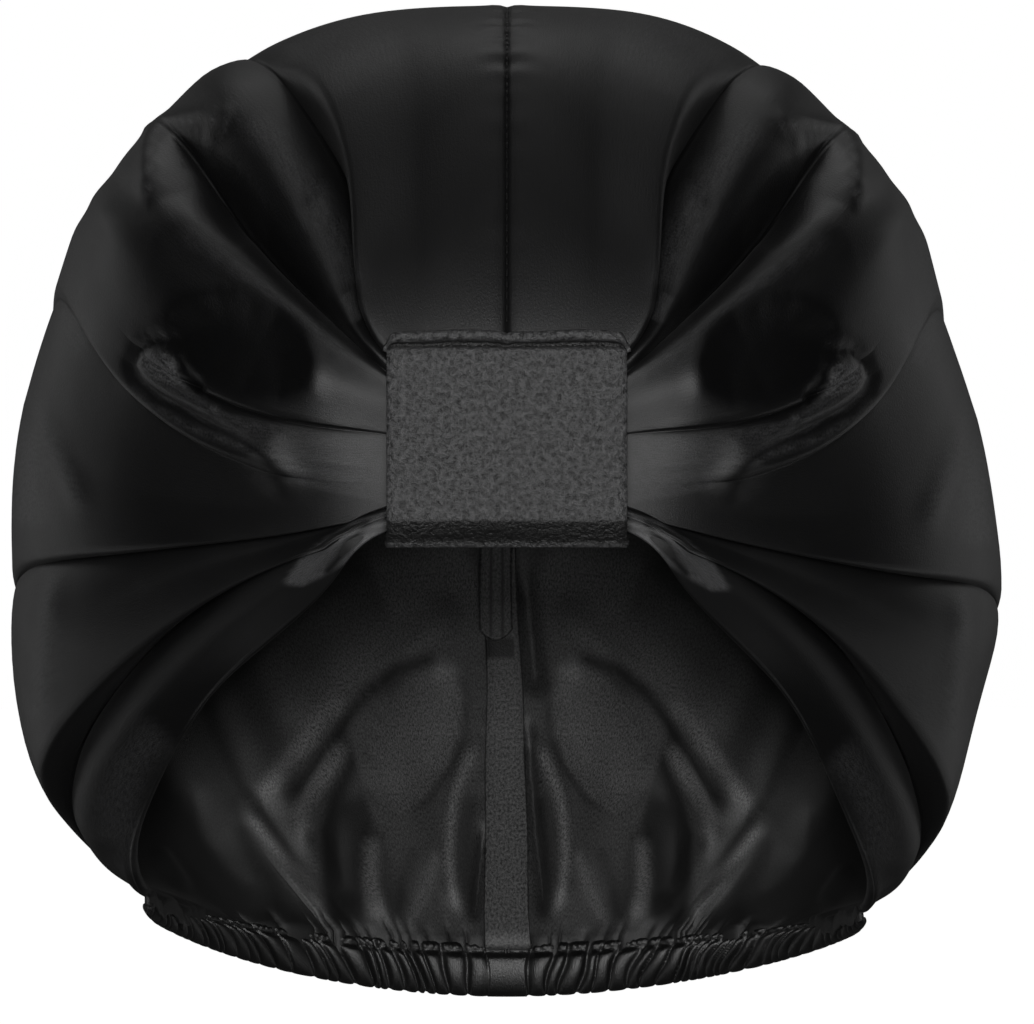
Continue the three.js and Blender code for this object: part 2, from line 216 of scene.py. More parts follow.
LINES = (
    Line("seam", 0, 0,
         x=(0, 0, 0, 0, 0, 0, 0, 0),
         y=(-110, -111, -82, -15, 53, 111, 128, 107),
         z=(-92, -80, -26, -1, -8, -52, -132, -190)),
    Line("crown", 0.22, 20,
         x=(10, 29, 38, 53, 62, 52, 46, 34),
         y=(-110, -111, -87, -35, 32, 97, 113, 97),
         z=(-97, -84, -50, -16, -17, -62, -135, -190)),
    Line("hollow", 0.33, 30,
         x=(12, 29.5, 50, 75, 86, 84, 70, 50),
         y=(-110, -112, -97, -62, -8, 58, 98, 89),
         z=(-100, -89, -67, -40, -33, -64, -133, -191)),
    Line("puff", 0.5, 46,
         x=(12, 29.5, 56, 87, 103, 106, 90, 68),
         y=(-110, -112, -103, -72, -18, 40, 80, 78),
         z=(-107, -104, -100, -83, -66, -92, -146, -197)),
    Line("cheek", 0.7, 62,
         x=(12, 29.5, 55, 88, 113.5, 116, 103, 83),
         y=(-110, -111.5, -101, -76, -28, 22, 58, 63),
         z=(-117, -121, -127, -131, -134, -145, -172, -205)),
    Line("drape", 0.85, 74,
         x=(12, 29.5, 50, 72, 94, 108, 105, 93),
         y=(-110, -112, -104, -86, -57, -22, 10, 31),
         z=(-122, -125, -133, -144, -162, -181, -199, -212)),
    Line("face_edge", 1, 87,
         x=(12, 29.5, 42, 58, 72, 83, 90, 88.5),
         y=(-110, -112, -105, -88, -64, -38, -14, -1),
         z=(-124, -127.5, -139.5, -154.5, -168, -186, -205, -214.5)),
)

# The right side's differences: depth below the crown, share drawn in, distance let down.
LOPSIDED = ((0, 0.06, 3), (13, 0.05, 3), (40, 0.03, 1.5), (70, 0.038, 2.4), (95, 0.028, 3.5),
            (120, 0.013, 4.5), (142, 0.003, 5), (160, 0.036, 5.3), (205, 0.035, 5.5),
            (228, 0.005, 2.4), (245, 0, 1))

FOLD_LINE = (0.08, 0.2, 0.35, 0.5, 0.75)
FOLD_HEIGHT = (0, 0.08, 0.16, 0.26, 0.36, 0.48, 0.62, 0.76, 0.9, 1)


@dataclass(frozen=True)
class Fold:
    """A crest or a hollow that lies over the form, from the loop to the nape.

    Attributes:
        name: what it is.
        crease: 0 for a round one, towards 1 for a sharp one.
        lean: how far its crest hangs over towards the face edge.
        across: where it runs, at the stations of FOLD_LINE.
        height: how high it stands, at the stations of FOLD_HEIGHT.
        sharp_to: how far along the cloth its crease stays sharp.
    """

    name: str
    crease: float
    lean: float
    across: tuple[float, ...]
    height: tuple[float, ...]
    sharp_to: float = 0.5


FOLDS = (
    Fold("seam", 0, 0, (0, 0, 0, 0, 0), (0, 0, 0, 0, 0, 0, 0, 0, 0, 0)),
    Fold("crown_middle", 0, 0, (0.11, 0.11, 0.11, 0.11, 0.11),
         (0, 0, 1, 1, 0, 0, 0, 0, 0.5, 0)),
    Fold("crown_lip", 0, 3.5, (0.195, 0.187, 0.2, 0.2, 0.17),
         (0, 1, 4, 4, -0.5, -0.5, 0, 0, -0.5, 0)),
    Fold("first_pleat", 0.8, 0, (0.228, 0.214, 0.226, 0.235, 0.23),
         (0, -1.5, -11, -12, -3, 0, 0, 0, 0.5, 0)),
    Fold("small_ridge", 0, 2, (0.262, 0.27, 0.264, 0.265, 0.28),
         (0, 0, -3, -1, 2, 2.5, 0, 0, -0.5, 0)),
    Fold("deep_hollow", 0.6, 0, (0.325, 0.33, 0.322, 0.32, 0.33),
         (0, -1.5, -11, -15, -6, 2, 0, 0, 0.5, 0)),
    Fold("hollow_rim", 0, 0, (0.355, 0.37, 0.385, 0.385, 0.38),
         (0, 0, 1, 3, 3, 2, 0, 0, -0.5, 0)),
    Fold("upper_puff", 0, 0, (0.43, 0.43, 0.43, 0.43, 0.43),
         (0, 1, 4, 6, 6, 3.5, 1, 0, 0.5, 0)),
    Fold("curl_lip", 0, 0, (0.497, 0.494, 0.486, 0.463, 0.468),
         (0, 0.5, 3, 4.5, 5, 4.5, 1.5, 0, 0, 0)),
    Fold("curl_pleat", 0.8, 0, (0.503, 0.501, 0.493, 0.47, 0.475),
         (0, 0, 1, 3, 5, 4.5, 1.5, 0, 0, 0)),
    Fold("curl_band", 0, 0, (0.545, 0.527, 0.503, 0.482, 0.485),
         (0, 0.5, 2.3, 4, 5, 4.5, 1.5, 0, 0, 0)),
    Fold("band_pleat", 0.3, 0, (0.585, 0.545, 0.512, 0.49, 0.493),
         (0, 0.6, 2.3, 3.4, 5, 4.5, 1.6, 0, 0, 0)),
    Fold("puff_edge", 0, 2, (0.605, 0.558, 0.524, 0.505, 0.508),
         (0, 0.6, 2.2, 3.8, 5, 4.5, 1.9, 0.2, 0, 0)),
    Fold("puff_foot", 0.6, 0, (0.625, 0.575, 0.54, 0.52, 0.53),
         (0, 0.6, 1.9, 1, 0, 3, 2.4, 0.5, 0, 0)),
    Fold("side_puff", 0, 0, (0.66, 0.64, 0.62, 0.6, 0.6),
         (0, 0.6, 1.6, 1, 2, 4.2, 3.5, 1, 0.2, 0)),
    Fold("side_lip", 0, 2.5, (0.708, 0.685, 0.69, 0.692, 0.68),
         (0, 0.5, 2, 3, 3, 2.4, 2.6, 1, -0.5, 0)),
    Fold("side_pleat", 0.8, 0, (0.722, 0.702, 0.706, 0.706, 0.706),
         (0, -1, -3, -3, -2, 0, 1.5, 0.5, -0.5, 0), sharp_to=0.7),
    Fold("lower_drape", 0, 0, (0.76, 0.76, 0.77, 0.775, 0.78),
         (0, 0, -1, -1, 1.5, 5, 5, 3.4, -0.5, 0)),
    Fold("drape_lip", 0, 4.5, (0.783, 0.798, 0.824, 0.836, 0.845),
         (0, 0.3, 1, 2, 3.5, 4.5, 5, 1.5, -0.5, 0)),
    Fold("drape_pleat", 0.8, 0, (0.8, 0.816, 0.841, 0.852, 0.862),
         (0, -0.5, -2, -5, -7, -7, -6, -1, -0.5, 0), sharp_to=0.75),
    Fold("edge_drape", 0, 0, (0.9, 0.92, 0.925, 0.925, 0.93),
         (0, 0.4, 0.8, 0.3, 0, 0, 0, 0, -0.5, 0)),
    Fold("face_edge", 0.3, 0, (1, 1, 1, 1, 1),
         (0, 0, 0.3, 0.8, 0.8, 0.6, 0.6, 0.8, 0.5, 0), sharp_to=1.1),
)


class Side(Enum):
    """A side of the head, as its direction along X."""

    LEFT = -1
    RIGHT = 1


class Part(Enum):
    """Which part of a panel a mark lies on, named for its attribute of painted light and shade."""

    FRONT = "painted_light_outside"
    BACK = "painted_light_inside"


@dataclass(frozen=True)
class Ridge:
    """A small fold along a line of (x, z) places, as the camera sees them at the head's middle.

    Attributes:
        name: what it is.
        part: the part of the panel that it lies on.
        height: how far it stands out, or in where negative.
        width: how far from its line it reaches.
        places: its line, in distance from the middle and height below the crown.
        ends: the share of its length over which it grows and dies away.
        side: the side that it is on, where it isn't on both.
    """

    name: str
    part: Part
    height: float
    width: float
    places: Places
    ends: float = 0.25
    side: Side | None = None


@dataclass(frozen=True)
class Patch:
    """A raised or sunken place inside an outline of (x, z) places, as the camera sees them.

    Attributes:
        name: what it is.
        part: the part of the panel that it lies on.
        height: how far it stands out, or in where negative.
        edge: how far in from its outline it takes to reach that.
        places: its outline.
    """

    name: str
    part: Part
    height: float
    edge: float
    places: Places


RIDGES = (
    Ridge("hollow_rim_roll", Part.FRONT, 1.3, 1.7,
          ((63.3, -28.4), (73.2, -27.1), (82.9, -28.4), (86.3, -30.5), (87, -35.1), (87, -41.2),
           (86.8, -48.5)), ends=0.15),
    Ridge("side_streak", Part.FRONT, 0.9, 2.5,
          ((116.4, -93.3), (110.8, -105.4), (105.9, -115.1), (101.1, -124.8))),
    Ridge("drape_streak", Part.FRONT, 0.8, 2.2,
          ((108.4, -135), (110.3, -144.2), (111.5, -153.9), (112.7, -166), (113.7, -175.7))),
    Ridge("edge_streak", Part.FRONT, 0.8, 2.4,
          ((90.7, -187.9), (93.1, -200), (93.3, -212.1)), ends=0.3),
    Ridge("upper_corner_fold", Part.FRONT, 1.2, 1.4,
          ((30.1, -123.6), (35.6, -126.5), (40.5, -129.7), (50.2, -140.6)), ends=0.5),
    Ridge("lower_corner_fold", Part.FRONT, 1.2, 1.2,
          ((30.1, -127.3), (36.8, -132.1), (42.9, -138.2)), ends=0.5),
    Ridge("curl_slot", Part.FRONT, -2, 1.5,
          ((81.2, -84.1), (79.7, -88), (76.8, -91.6), (73, -93.8)), ends=0.2),
    Ridge("curl_outline", Part.FRONT, -1.2, 1.4,
          ((77.3, -84.1), (81.7, -81.7), (86.5, -81.7), (89.9, -83.6), (91.4, -87.3),
           (89.9, -91.1), (84.1, -95.7), (74.4, -100.6), (64.7, -105.4),
           (59.4, -109.1)), ends=0.1),
    Ridge("facet_edge", Part.FRONT, 1, 4,
          ((102.5, -50.2), (93.8, -52.6), (86.5, -54.5), (79.7, -58.2))),
    Ridge("puff_edge_roll", Part.FRONT, 0.5, 1.2,
          ((95.7, -89), (87.7, -94.5), (79.3, -99.4), (70.8, -103.7), (59.4, -108.8),
           (50.2, -110.8)), ends=0.2),
    Ridge("puff_shoulder", Part.FRONT, 1.5, 4.5,
          ((61.8, -102.5), (57.9, -108.4), (54.8, -115.1), (57.4, -120.7)), ends=0.3),
    Ridge("belly_shoulder", Part.FRONT, 0.7, 3,
          ((52.6, -71.5), (47.3, -78.8), (45.1, -86.1), (46.8, -93.3), (53.8, -97)), ends=0.3),
    Ridge("arch", Part.BACK, -2.2, 4.5,
          ((61.8, -196.3), (56.2, -189.1), (50.2, -183), (42.9, -175.7), (35.6, -168.5),
           (28.4, -161.2), (18.7, -152.7), (10.2, -144.2)), ends=0.15),
    Ridge("under_arch", Part.BACK, 2.2, 3,
          ((51.4, -193.9), (45.3, -184.2), (39.3, -174.5), (32, -166), (23.5, -160),
           (18.2, -157.6))),
    Ridge("inner_kite", Part.BACK, -1.6, 2,
          ((38.1, -175.3), (44.1, -187.9), (50.2, -200), (48.2, -207.7))),
    Ridge("kite_foot", Part.BACK, -1.2, 2,
          ((62.8, -190.3), (62.3, -196.3), (56.2, -204.8), (52.6, -212.1), (47.8, -218.2),
           (44.8, -223)), ends=0.1),
    Ridge("dark_hollow", Part.BACK, 3, 5,
          ((39.3, -183), (39.3, -197.6), (39.3, -212.1), (39.3, -223))),
    Ridge("seam_fold", Part.BACK, -2, 1.7,
          ((6.5, -177), (10.9, -185.4), (13.3, -192.7), (14.5, -204.8), (13.8, -214.5),
           (11.4, -220.6)), ends=0.15),
    Ridge("foot_fold", Part.BACK, -1.6, 2,
          ((32.7, -198), (32.7, -212.1), (31.3, -218.2), (28.8, -224.2)), ends=0.3),
    Ridge("left_fold", Part.BACK, -0.6, 3,
          ((65.7, -190.3), (66.7, -200), (62.8, -209.7), (57.9, -216.9),
           (53.6, -221.8)), ends=0.2),
    Ridge("left_valley", Part.BACK, 0.6, 2.5,
          ((76.8, -187.9), (73.7, -202.4), (68.4, -210.2), (59.4, -218.2)), ends=0.2),
    Ridge("corner_fold", Part.BACK, -1.4, 1.8,
          ((86.5, -203.6), (81.7, -210.2), (76.8, -216.5)), ends=0.3),
    Ridge("left_slot", Part.BACK, 4, 1.4,
          ((5.3, -198), (6.5, -209.7), (7.5, -218.2), (8.2, -223.7)), ends=0.2, side=Side.LEFT),
    Ridge("right_shadow", Part.BACK, 4, 2.2,
          ((3.9, -135.7), (5.1, -149.1), (6.1, -158.8), (7, -168.5)), ends=0.2, side=Side.RIGHT),
    Ridge("right_slot", Part.BACK, 5, 1.7,
          ((4.6, -171.4), (5.6, -187.9), (6.5, -200), (8, -212.1),
           (8.7, -223)), ends=0.15, side=Side.RIGHT),
)

PATCHES = (
    Patch("hollow_end", Part.FRONT, -2.6, 7,
          ((85.6, -47.3), (85.8, -40), (84.8, -34.7), (81.2, -31.3), (74.4, -30.3), (69.1, -32.7),
           (64.7, -37.6), (59.4, -46.1), (57.4, -57), (64.7, -59.4), (73.2, -55), (81.2, -50.2))),
    Patch("belly", Part.FRONT, -3.4, 12,
          ((82.2, -82.4), (83.1, -76.4), (78.8, -71.5), (70.8, -68.6), (61.8, -69.3),
           (54.5, -72.5), (49.4, -79.3), (47, -86.5), (49, -92.4), (55, -95.3), (64.7, -94.8),
           (73.7, -90.4))),
    Patch("curl", Part.FRONT, 1, 3,
          ((90.4, -87.5), (89.2, -84.6), (86.1, -83.1), (82.2, -82.9), (80, -85.6), (77.6, -90.2),
           (75.1, -93.3), (69.6, -96.7), (70.8, -100.6), (78.1, -97.7), (84.1, -94.8),
           (88, -91.9))),
    Patch("hook", Part.FRONT, -1.3, 2,
          ((47, -42.4), (44.6, -46.1), (45.3, -53.1), (48.5, -52.8), (49.2, -47.3))),
    Patch("teardrop", Part.BACK, 2, 6,
          ((32.7, -178.2), (33.7, -190.3), (29.6, -195.6), (25.9, -196.8), (21.1, -192.7),
           (15, -186.6), (11.4, -178.2), (10.2, -168.5), (11.9, -160.7), (18.2, -157.6),
           (24.7, -161.7), (29.6, -168.5))),
)


@dataclass(frozen=True)
class PaintedLight:
    """Painted light or painted shade laid into the panel's colour, placed as Patch is.

    Attributes:
        name: what it is.
        part: the part of the panel that it lies on.
        share: how much painted highlight it gives, 1 for the full painted highlight and 0 for
        none, so that 0 paints shade over what lies under it; below 0 it also lowers the roughness.
        edge: how wide its soft edge is.
        places: its outline, or its line.
        closed: whether the places are an outline rather than a line.
    """

    name: str
    part: Part
    share: float
    edge: float
    places: Places
    closed: bool = False


# Painted light and shade on the panels, laid on in order: highlights painted where the cloth
# should look lit, and painted shade (shares of 0 and below) laid back over them where it should
# look dark.
PAINTED_MARKS = (
    PaintedLight("crown_side", Part.FRONT, 0.12, 10,
          ((16.2, -6.1), (30.8, -9.7), (45.3, -13.3))),
    PaintedLight("belly_dark", Part.FRONT, -0.7, 5,
          ((84.6, -82.4), (86.5, -76.4), (82.9, -71.5), (73.2, -67.6), (61.8, -68.4),
           (54.1, -71.5), (48.7, -78.8), (46.3, -86.5), (48.2, -92.4), (54.1, -95.7),
           (64.7, -95.3), (74.4, -89.9)), closed=True),
    PaintedLight("hollow_dark", Part.FRONT, -0.5, 3,
          ((85.3, -47.3), (86.1, -41.2), (85.3, -35.1), (79.3, -30.3), (72, -31.3), (67.1, -37.6),
           (62.3, -44.8), (56.2, -52.1), (50.2, -61.8), (45.3, -69.1), (45.3, -76.4),
           (50.2, -73.9), (57.4, -67.9), (64.7, -61.8), (70.8, -55.8),
           (78.1, -50.9)), closed=True),
    PaintedLight("band_light", Part.FRONT, 0.12, 2.2,
          ((30.1, -92.1), (40.5, -84.1), (45.8, -82.4), (44.8, -89), (46.8, -94.3), (53.1, -97.4),
           (61.1, -97.7), (59.4, -99.6), (50.2, -101.1), (30.1, -104)), closed=True),
    PaintedLight("tongue", Part.FRONT, 0.38, 1.4,
          ((90.4, -87.3), (89, -84.6), (86.1, -83.1), (82.2, -83.1), (80.2, -86.1), (77.8, -90.4),
           (74.9, -93.6), (66.7, -97.9), (58.7, -99.9), (50.2, -101.1), (40.5, -102.5),
           (30.1, -104.5), (30.1, -120.7), (49.7, -116.6), (59.4, -108.4), (67.1, -103.7),
           (74.4, -100.4), (79.3, -97.4), (84.1, -95), (87.7, -92.4), (89.9, -89.7)), closed=True),
    PaintedLight("curl_light", Part.FRONT, 0.95, 1.2,
          ((89, -87.5), (87.7, -85.1), (85.3, -84.1), (82.7, -84.4), (80.2, -88), (77.8, -91.9),
           (81.7, -91.9), (86.5, -90.4)), closed=True),
    PaintedLight("slot_dark", Part.FRONT, -0.6, 1.1,
          ((81.4, -84.4), (80.2, -86.5), (78.5, -89.4), (75.4, -92.6), (71.5, -95.3),
           (66.7, -97.7), (58.7, -99.6), (50.2, -100.8), (40.5, -102.3), (32, -103.7))),
    PaintedLight("corner_fold", Part.FRONT, 1.4, 1.6,
          ((30.1, -123.4), (36.8, -125.1), (44.1, -129.7), (50.2, -134.5), (54.1, -140.3),
           (49.7, -140.8), (44.1, -138.2), (37.6, -134.5), (30.1, -129.7)), closed=True),
    PaintedLight("corner_dark", Part.FRONT, 0, 1.1,
          ((32.7, -124.4), (37.6, -129.7), (41.5, -135), (44.8, -138.7))),
    PaintedLight("rim_arc", Part.FRONT, 0.6, 1,
          ((63.3, -28.8), (73.2, -27.4), (82.9, -28.6), (86.5, -31), (87, -35.1), (87, -41.2),
           (86.8, -48.5))),
    PaintedLight("upper_band", Part.FRONT, 0.4, 4,
          ((64.7, -25.9), (55, -33.9), (47.3, -46.1), (41, -59.4), (36.6, -71.5))),
    PaintedLight("inner_corner", Part.FRONT, 0.7, 1.6,
          ((39.3, -69.6), (37.6, -72.7), (36.1, -76.8))),
    PaintedLight("lower_rim", Part.FRONT, 0.3, 2.5,
          ((81.7, -53.3), (67.1, -62.3), (52.6, -73.4), (42.9, -81.2), (33.2, -88))),
    PaintedLight("side_light", Part.FRONT, 0.6, 6.5,
          ((119.5, -100.6), (118, -112.7), (117.1, -127.3))),
    PaintedLight("side_streak", Part.FRONT, 0.35, 2,
          ((116.4, -93.3), (110.8, -105.4), (105.9, -115.1), (101.1, -124.8))),
    PaintedLight("puff_light", Part.FRONT, 0.3, 4,
          ((104.7, -47.3), (107.9, -61.8), (106.9, -73.9), (101.1, -86.1))),
    PaintedLight("tongue_rim", Part.FRONT, 0.35, 1,
          ((95.7, -89.9), (86.5, -97.2), (76.8, -102.5), (64.7, -106.9), (57.4, -111.7))),
    PaintedLight("drape_streak", Part.FRONT, 0.4, 2.4,
          ((108.8, -135), (110.8, -144.2), (112, -153.9), (113.2, -166), (113.7, -175.7))),
    PaintedLight("edge_light", Part.FRONT, 0.35, 3.2,
          ((91.4, -183), (93.1, -200), (92.8, -212.1))),
    PaintedLight("face_band", Part.FRONT, 0.5, 5.5,
          ((82.9, -174.5), (91.9, -184.2), (95.7, -192.7), (95.3, -204.8))),
    PaintedLight("top_light", Part.FRONT, 0.3, 6,
          ((25.9, -6.1), (42.9, -9.7), (57.4, -17))),
    PaintedLight("inside_all", Part.BACK, 0.27, 6,
          ((30.1, -134.5), (50.2, -149.1), (64.7, -163.6), (73.2, -175.7), (70.8, -192.7),
           (64.7, -204.8), (52.6, -218.2), (42.9, -223), (30.8, -225.4), (16.2, -226.2),
           (0, -226.6), (0, -132.1)), closed=True),
    PaintedLight("under_loop", Part.BACK, 0.62, 12,
          ((6.5, -137), (18.7, -141.8), (30.8, -146.7))),
    PaintedLight("shoulder_light", Part.BACK, 0.55, 7,
          ((9, -144.2), (21.1, -150.3), (33.2, -158.8), (42.9, -168.5), (52.6, -179.4))),
    PaintedLight("left_shade", Part.BACK, 0.12, 8,
          ((74.4, -168.5), (73.2, -183), (69.1, -200), (62.3, -212.1), (55, -218.2))),
    PaintedLight("arch_dark", Part.BACK, 0, 2.2,
          ((14.3, -159.3), (19.9, -158.8), (27.1, -161.2), (33.2, -166), (38.5, -172.3),
           (44.1, -181.1), (49, -188.3), (56.2, -194.2))),
    PaintedLight("arch_light", Part.BACK, 0.95, 2,
          ((61.8, -194.2), (58.7, -190.3), (52.6, -182.3), (45.8, -173.8), (39.3, -167.3))),
    PaintedLight("kite_light", Part.BACK, 0.75, 2,
          ((39.3, -178.6), (43.4, -185.4), (47.8, -190.8), (50.2, -196.3), (48.2, -202.4))),
    PaintedLight("kite_edge", Part.BACK, 0.85, 1.2,
          ((62.8, -195.6), (59.4, -200.5), (53.8, -207.3), (47.8, -214), (44.4, -220.6))),
    PaintedLight("hollow_dark", Part.BACK, 0, 2.5,
          ((38.1, -181.1), (42.9, -190.3), (45.8, -200), (45.3, -212.1), (42.9, -223),
           (34.7, -224.2), (33.7, -209.7), (32.7, -197.6), (35.1, -187.9)), closed=True),
    PaintedLight("teardrop_light", Part.BACK, 0.55, 1.6,
          ((32.7, -178.2), (33.7, -190.3), (29.6, -195.6), (25.9, -196.8), (19.9, -192.2),
           (14.3, -185), (11.4, -177), (10.7, -168.5), (12.6, -161.7), (18.7, -159.3),
           (24.7, -163.1), (29.6, -169.7)), closed=True),
    PaintedLight("teardrop_edge", Part.BACK, 0.1, 0.9,
          ((24.7, -196.6), (19.1, -192.7), (13.3, -185), (10.4, -177), (9.7, -168.5),
           (11.9, -160.7))),
    PaintedLight("seam_light", Part.BACK, 0.85, 1.3,
          ((6.5, -177), (9, -183), (12.4, -191.5), (13.8, -200), (13.8, -209.7), (12.4, -218.2),
           (10.7, -223))),
    PaintedLight("seam_shade", Part.BACK, 0.1, 2,
          ((8.2, -190.3), (9.9, -202.4), (9.5, -213.3), (8, -223))),
    PaintedLight("foot_light", Part.BACK, 0.65, 1.8,
          ((32.2, -201.2), (33, -212.1), (31.8, -223))),
    PaintedLight("foot_light_right", Part.BACK, 0.6, 1.6,
          ((16.7, -204.8), (19.9, -214.5), (24, -223))),
    PaintedLight("foot_shade", Part.BACK, 0.1, 1.8,
          ((22.3, -203.6), (25.5, -213.3), (27.6, -223))),
)


class BonnetForm:
    """The plain form of the right panel, worked out from its lines."""

    def __init__(self) -> None:
        """Mirrors the lines over the seam, so that the form crosses it smoothly."""
        table = np.array([[*zip(line.x, line.y, line.z)] for line in LINES], float)
        ends = np.array([[self.nape_point(line.nape)] for line in LINES])
        table = np.concatenate([table, ends], axis=1)
        across = [line.across for line in LINES]
        self.across_at = [-a for a in across[:0:-1]] + across
        self.table = np.concatenate([table[:0:-1] * (-1, 1, 1), table])

    @staticmethod
    def nape_point(x: float) -> tuple[float, float, float]:
        """Gives the point just above the casing where a line that is x from the middle ends."""
        centre, half_height, _ = NapeCasing.section(np.array(math.asin(x / NAPE_HALF_WIDTH)))
        return centre[0], centre[1], centre[2] + half_height + SEW_GAP

    def point(self, across: np.ndarray, along: np.ndarray) -> np.ndarray:
        """Gives points of the form.

        Args:
            across: places between the seam (0) and the face edge (1).
            along: places between the loop (0) and the nape (1), in the same shape.

        Returns:
            The points, along a new last axis of x, y and z.
        """
        lines = np.einsum("...l,klc->...kc", spline_weights(STATIONS, along), self.table)
        return np.einsum("...k,...kc->...c", spline_weights(self.across_at, across), lines)

    def directions(self, across: np.ndarray, along: np.ndarray) -> tuple[np.ndarray, np.ndarray]:
        """Gives the outward direction and the direction towards the face edge.

        Args:
            across: places between the seam and the face edge.
            along: places between the loop and the nape, in the same shape.

        Returns:
            Two arrays of unit directions, along a new last axis.
        """
        small = 1e-3
        sideways = (self.point(np.minimum(across + small, 1), along)
                    - self.point(np.maximum(across - small, -1), along))
        lengthways = (self.point(across, np.minimum(along + small, 1))
                      - self.point(across, np.maximum(along - small, 0)))
        outward = np.cross(sideways, lengthways)
        return unit(outward), unit(sideways)


def unit(vectors: np.ndarray) -> np.ndarray:
    """Gives vectors of length 1 in the same directions."""
    return vectors / np.linalg.norm(vectors, axis=-1, keepdims=True)


# ---- finishes ----------------------------------------------------------------------------------


def linear_colour(code: str) -> tuple[float, float, float, float]:
    """Turns an sRGB hex code into the linear colour that a shader takes.

    Args:
        code: six hex digits.

    Returns:
        Red, green and blue from 0 to 1, and an alpha of 1.
    """
    parts = [int(code[i:i + 2], 16) / 255 for i in (0, 2, 4)]
    red, green, blue = [p / 12.92 if p <= 0.04045 else ((p + 0.055) / 1.055) ** 2.4 for p in parts]
    return red, green, blue, 1.0


def add_node(tree: bpy.types.NodeTree, kind: str, inputs: dict | None = None,
             **settings: object) -> bpy.types.Node:
    """Adds a node, with its settings and its inputs.

    Args:
        tree: the tree that it goes into.
        kind: the node's type.
        inputs: a value or another node's output for each input, by its name or number.
        **settings: the node's own settings.

    Returns:
        The new node.
    """
    node = tree.nodes.new(kind)
    for name, value in settings.items():
        setattr(node, name, value)
    for name, value in (inputs or {}).items():
        if isinstance(value, bpy.types.NodeSocket):
            tree.links.new(value, node.inputs[name])
        else:
            node.inputs[name].default_value = value
    return node


def new_material(name: str) -> tuple[bpy.types.Material, bpy.types.NodeTree]:
    """Makes a material.

    Args:
        name: its name.

    Returns:
        The material and its empty tree of nodes.
    """
    material = bpy.data.materials.new(name)
    material.use_nodes = True
    material.node_tree.nodes.clear()
    return material, material.node_tree


